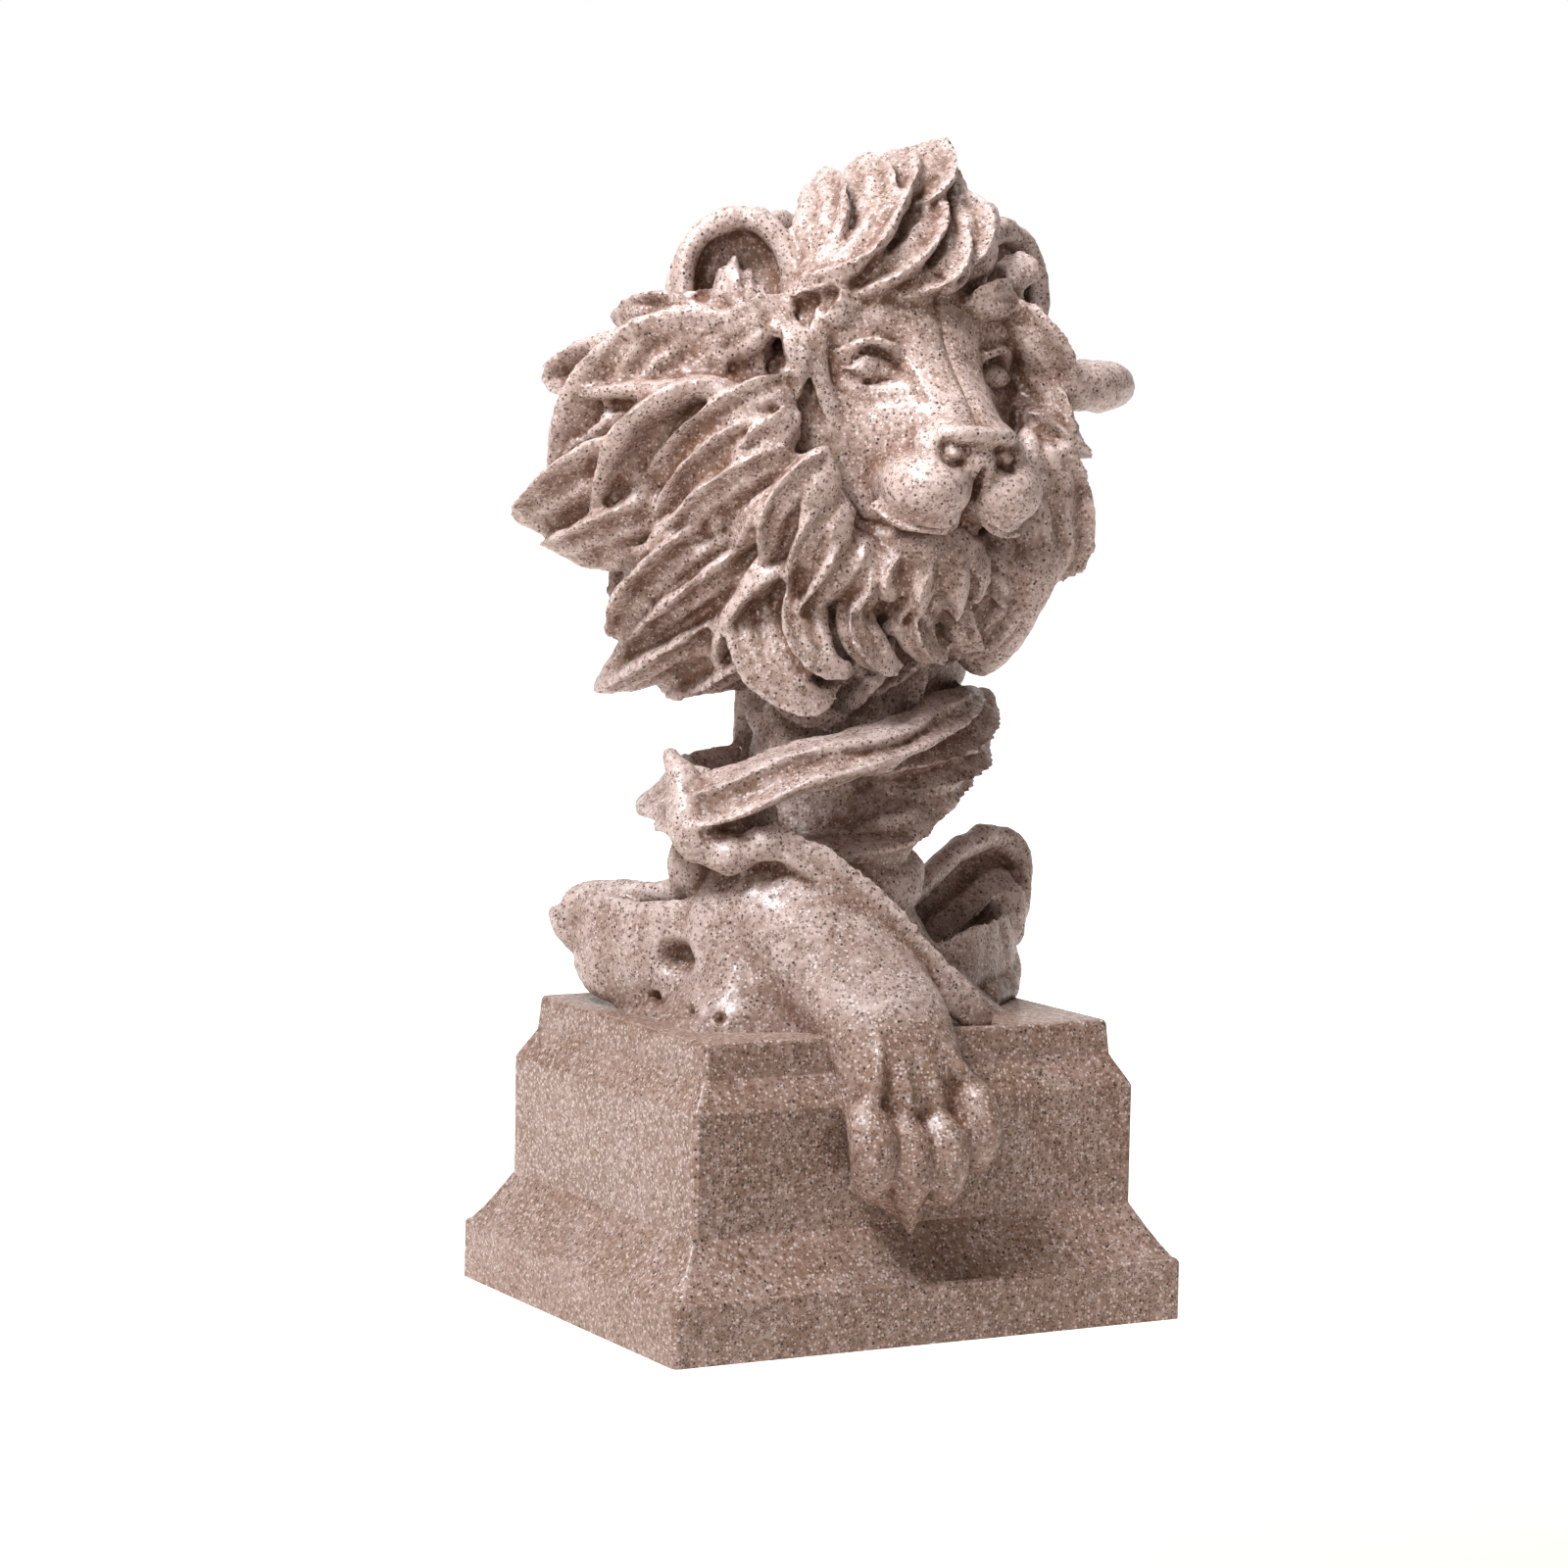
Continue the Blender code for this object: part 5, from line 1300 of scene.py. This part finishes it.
class Shader:
    """The nodes of one material or of the world."""

    def __init__(self, data):
        self.data = data
        data.use_nodes = True
        self.nodes = data.node_tree.nodes
        self.links = data.node_tree.links

    def feed(self, socket, value):
        if isinstance(value, Wire):
            self.links.new(value.socket, socket)
        else:
            socket.default_value = value

    def node(self, kind, settings, *values, output=0, **named):
        """Adds a node: its settings first, then the values of its sockets by order or by name."""
        node = self.nodes.new(kind)
        for setting, value in settings.items():
            setattr(node, setting, value)
        for socket, value in zip(node.inputs, values):
            self.feed(socket, value)
        for name, value in named.items():
            self.feed(node.inputs[name], value)
        return Wire(self, node.outputs[output])

    def mix(self, share, first, second):
        """A mix of two colours."""
        node = self.nodes.new("ShaderNodeMix")
        node.data_type = "RGBA"
        for name, value in (("Factor_Float", share), ("A_Color", first), ("B_Color", second)):
            socket = next(s for s in node.inputs if s.identifier == name)
            self.feed(socket, value)
        return Wire(self, next(s for s in node.outputs if s.identifier == "Result_Color"))

    def set(self, **values):
        for name, value in values.items():
            self.feed(self.nodes["Principled BSDF"].inputs[name.replace("_", " ")], value)


def colour(value):
    return (*value, 1.0)


# Sizes of patches, mottle and of the smaller and larger grains
PATCH_SIZE = 0.006
MOTTLE_SIZE = 1.8
SMALL_SIZE = 0.6
BROAD_SIZE = 1.7
# Which random values make a cell a grain of this kind, and how far it reaches in its cell
BROWN_GRAINS = (0.66, 0.72), (0.34, 0.52)
PALE_GRAINS = (0.68, 0.74), (0.34, 0.50)
PALE_SPECKS = (0.84, 0.90), (0.30, 0.45)
DARK_FLECKS = (0.72, 0.78), (0.30, 0.45)
DARK_GRAINS = (0.76, 0.79), (0.16, 0.28)


def grains(chance, apart, kind):
    """Where the grains of this kind lie."""
    values, reach = kind
    return chance.step(*values) * (1.0 - apart.step(*reach))


def resin(finish):
    """Speckled cast resin: pale, brown and dark grains, with warm brown painted shade in the hollows,
    and painted light that makes the figure paler and puts a painted highlight on its ridges.
    """
    shader = Shader(bpy.data.materials.new("speckled resin"))
    place = shader.node("ShaderNodeTexCoord", {}, output=3)
    # The attribute marks the hollows, which get painted shade, and the ridges, which get a painted
    # highlight.
    hollow = shader.node("ShaderNodeAttribute", {"attribute_name": "hollow"}, output=2)

    def cells(size):
        """Distance to the nearest cell's middle, and two random values for that cell."""
        apart = shader.node("ShaderNodeTexVoronoi", {}, Vector=place, Scale=1 / size, output=0)
        tint = shader.node("ShaderNodeTexVoronoi", {}, Vector=place, Scale=1 / size, output=1)
        red = shader.node("ShaderNodeSeparateColor", {}, tint)
        green = Wire(shader, red.socket.node.outputs[1])
        return apart, red, green

    def cloud(size, detail):
        return shader.node(
            "ShaderNodeTexNoise", {}, Vector=place, Scale=1 / size, Detail=detail, output=0,
        )

    grain = finish.grain_size
    fine_apart, fine, fine_other = cells(grain)
    small_apart, small, small_other = cells(grain * SMALL_SIZE)
    broad_apart, broad, _ = cells(grain * BROAD_SIZE)
    patches = cloud(PATCH_SIZE, 3.0)
    mottle = cloud(grain * MOTTLE_SIZE, 3.0)
    height = Wire(shader, shader.node("ShaderNodeSeparateXYZ", {}, place).socket.node.outputs[2])
    # Painted light: the figure above the plinth's top is painted paler than the plinth.
    painted_figure_light = height.step(finish.painted_light_from, finish.painted_light_from + 0.004)
    # The patches are the resin's own paler tone; the paler figure is painted light.
    paler = patches.step(0.35, 0.7) * 0.5 + painted_figure_light * 0.5
    body = shader.mix(paler, colour(finish.stone), colour(finish.ridge))
    # Painted highlight: the figure's ridges are painted in the pale colour.
    body = shader.mix((1.0 - hollow).step(0.5, 0.8) * painted_figure_light * 0.8, body, colour(finish.painted_figure_light))
    # Painted shade: the hollows are darkened towards the warm brown hollow colour, more in some patches
    # than in others.
    warm = hollow.step(0.55, 0.9) * (0.6 + 0.4 * patches.step(0.3, 0.6))
    body = shader.mix(warm * 0.9, body, colour(finish.hollow))
    body = shader.mix(mottle.step(0.5, 0.66) * 0.4, body, colour(finish.brown_grain))
    body = shader.mix((1.0 - mottle).step(0.52, 0.66) * 0.25, body, colour(finish.pale_grain))
    brown = grains(fine_other, fine_apart, BROWN_GRAINS)
    body = shader.mix(brown * 0.75, body, colour(finish.brown_grain))
    pale = grains(fine, fine_apart, PALE_GRAINS)
    # The pale grains and specks are dimmed where the shade is painted.
    body = shader.mix(pale * (0.65 - 0.35 * warm), body, colour(finish.pale_grain))
    speck = grains(small, small_apart, PALE_SPECKS)
    body = shader.mix(speck * (0.7 - 0.4 * warm), body, colour(finish.pale_grain))
    fleck = grains(small_other, small_apart, DARK_FLECKS)
    body = shader.mix(fleck * 0.75, body, colour(finish.dark_grain))
    dark = grains(broad, broad_apart, DARK_GRAINS)
    body = shader.mix(dark * 0.95, body, colour(finish.dark_grain))
    gloss = finish.roughness + 0.2 * fine_other + 0.1 * patches
    rough = cloud(grain * 0.9, 1.0) * 0.6 + fine_apart * 0.4
    bump = shader.node(
        "ShaderNodeBump", {}, Strength=0.45, Distance=grain * 0.35, Height=rough
    )
    shader.set(Base_Color=body, Roughness=gloss, Normal=bump)
    shader.set(Coat_Weight=0.16, Coat_Roughness=0.14, IOR=1.5)
    return shader.data


class LION_OT_finish(bpy.types.Operator):
    """Gives the cast its speckled resin"""

    bl_idname = "lion.finish"
    bl_label = "Resin"

    def execute(self, context):
        cast = bpy.data.objects[CAST]
        cast.data.materials.clear()
        cast.data.materials.append(resin(context.scene.lion_finish))
        return {"FINISHED"}


# The stage

FLOOR_SIZE = 6.0
# Where the lights stand, and what they look at
KEY_PLACE = (-0.36, -0.13, 0.56)
TOP_PLACE = (0.0, -0.05, 0.75)
FACE_LIGHT_PLACE = (-0.27, -0.22, 0.24)
FILL_PLACE = (-0.28, -0.62, 0.16)
MIDDLE = (0, 0, 0.07)
HEAD_MIDDLE = (0, 0, 0.108)
# The camera's film, in millimetres, and its turns away from the plinth's middle
FILM_WIDTH = 36.0
CAMERA_YAW = math.radians(0.54)
CAMERA_PITCH = math.radians(5.12)
CAMERA_ROLL = math.radians(1.04)


def area_light(name, place, target, size, power):
    bpy.ops.object.light_add(type="AREA", location=place)
    light = bpy.context.object
    light.name = name
    light.data.shape = "DISK"
    light.data.size = size
    light.data.energy = power
    light.rotation_euler = (Vector(target) - Vector(place)).to_track_quat("-Z", "Y").to_euler()
    return light


def backward(stage):
    """The level direction from the camera past the sculpture."""
    return math.sin(stage.camera_turn), math.cos(stage.camera_turn), 0.0


def studio_sky(stage):
    """A world that is white behind the sculpture, and dim and warm in front of it."""
    world = Shader(bpy.data.worlds.new("studio sky"))
    place = world.node("ShaderNodeTexCoord", {}, output=0)
    settings = {"operation": "DOT_PRODUCT"}
    ahead = world.node("ShaderNodeVectorMath", settings, place, backward(stage), output=1)
    share = ahead.step(0.25, 0.9)
    light = share * (stage.sky_behind - stage.sky_front) + stage.sky_front
    tint = world.mix(share, colour(stage.sky_colour), colour((1.0, 1.0, 1.0)))
    world.feed(world.nodes["Background"].inputs["Color"], tint)
    world.feed(world.nodes["Background"].inputs["Strength"], light)
    return world.data


def fading_glow(paper, stage):
    """The floor's own light, which grows behind the sculpture."""
    place = paper.node("ShaderNodeTexCoord", {}, output=3)
    settings = {"operation": "DOT_PRODUCT"}
    away = paper.node("ShaderNodeVectorMath", settings, place, backward(stage), output=1)
    share = away.step(stage.glow_start, stage.glow_end)
    near = (stage.floor_glow,) * 3
    return paper.mix(share, colour(near), colour((1.0, 1.0, 1.0)))


class LION_OT_stage(bpy.types.Operator):
    """Lays the pale floor, sets the soft light and places the camera"""

    bl_idname = "lion.stage"
    bl_label = "Stage"

    def execute(self, context):
        stage = context.scene.lion_stage
        bpy.ops.mesh.primitive_plane_add(size=FLOOR_SIZE, location=(0, 0, 0))
        floor = bpy.context.object
        floor.name = "floor"
        paper = Shader(bpy.data.materials.new("pale paper"))
        paper.set(Base_Color=colour(stage.floor_colour), Roughness=0.9)
        paper.set(Emission_Color=fading_glow(paper, stage), Emission_Strength=1.0)
        floor.data.materials.append(paper.data)
        context.scene.world = studio_sky(stage)
        context.scene.view_settings.view_transform = "Standard"
        context.scene.view_settings.gamma = stage.film_gamma
        key = area_light("key", KEY_PLACE, MIDDLE, stage.key_size, stage.key_power)
        key.data.color = stage.key_colour
        area_light("fill", FILL_PLACE, MIDDLE, stage.fill_size, stage.fill_power)
        area_light("top", TOP_PLACE, MIDDLE, stage.top_size, stage.top_power)
        narrow = area_light(
            "face light", FACE_LIGHT_PLACE, HEAD_MIDDLE, stage.face_size, stage.face_power,
        )
        narrow.data.spread = stage.face_spread
        bpy.ops.object.camera_add()
        camera = bpy.context.object
        context.scene.camera = camera
        camera.data.sensor_width = FILM_WIDTH
        camera.data.lens = stage.focal_length
        camera.data.clip_start = 0.01
        turn = -stage.camera_turn
        away = stage.camera_distance
        eye = Vector((math.sin(turn) * away, -math.cos(turn) * away, stage.camera_height))
        aim, tilt, lean = turn + CAMERA_YAW, CAMERA_PITCH, CAMERA_ROLL
        back = Vector((math.sin(aim) * math.cos(tilt), -math.cos(aim) * math.cos(tilt), math.sin(tilt)))
        right = Vector((math.cos(aim), math.sin(aim), 0.0))
        up = back.cross(right)
        level, rise = math.cos(lean), math.sin(lean)
        right, up = right * level + up * rise, up * level - right * rise
        camera.matrix_world = Matrix((right, up, back)).transposed().to_4x4()
        camera.location = eye
        return {"FINISHED"}


STEPS = (
    LION_OT_head, LION_OT_mane, LION_OT_drapery, LION_OT_foreleg, LION_OT_plinth,
    LION_OT_cast, LION_OT_finish, LION_OT_stage,
)


class LION_PT_panel(bpy.types.Panel):
    """Lists the steps and their sizes"""

    bl_idname = "LION_PT_panel"
    bl_label = "Lion Head"
    bl_space_type = "VIEW_3D"
    bl_region_type = "UI"
    bl_category = "Lion Head"

    def draw(self, context):
        for step in STEPS:
            self.layout.operator(step.bl_idname)
        for group in (context.scene.lion_sizes, context.scene.lion_finish, context.scene.lion_stage):
            box = self.layout.box()
            for setting in group.bl_rna.properties:
                if setting.identifier not in ("rna_type", "name"):
                    box.prop(group, setting.identifier)


CLASSES = (LionSizes, LionFinish, LionStage, *STEPS, LION_PT_panel)


def register():
    for kind in CLASSES:
        bpy.utils.register_class(kind)
    bpy.types.Scene.lion_sizes = PointerProperty(type=LionSizes)
    bpy.types.Scene.lion_finish = PointerProperty(type=LionFinish)
    bpy.types.Scene.lion_stage = PointerProperty(type=LionStage)


def unregister():
    del bpy.types.Scene.lion_stage
    del bpy.types.Scene.lion_finish
    del bpy.types.Scene.lion_sizes
    for kind in reversed(CLASSES):
        bpy.utils.unregister_class(kind)


def main():
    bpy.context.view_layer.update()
    register()
    bpy.ops.lion.head()
    bpy.ops.lion.mane()
    bpy.ops.lion.drapery()
    bpy.ops.lion.foreleg()
    bpy.ops.lion.plinth()
    bpy.ops.lion.cast()
    bpy.ops.lion.finish()
    bpy.ops.lion.stage()


if __name__ == "__main__":
    main()
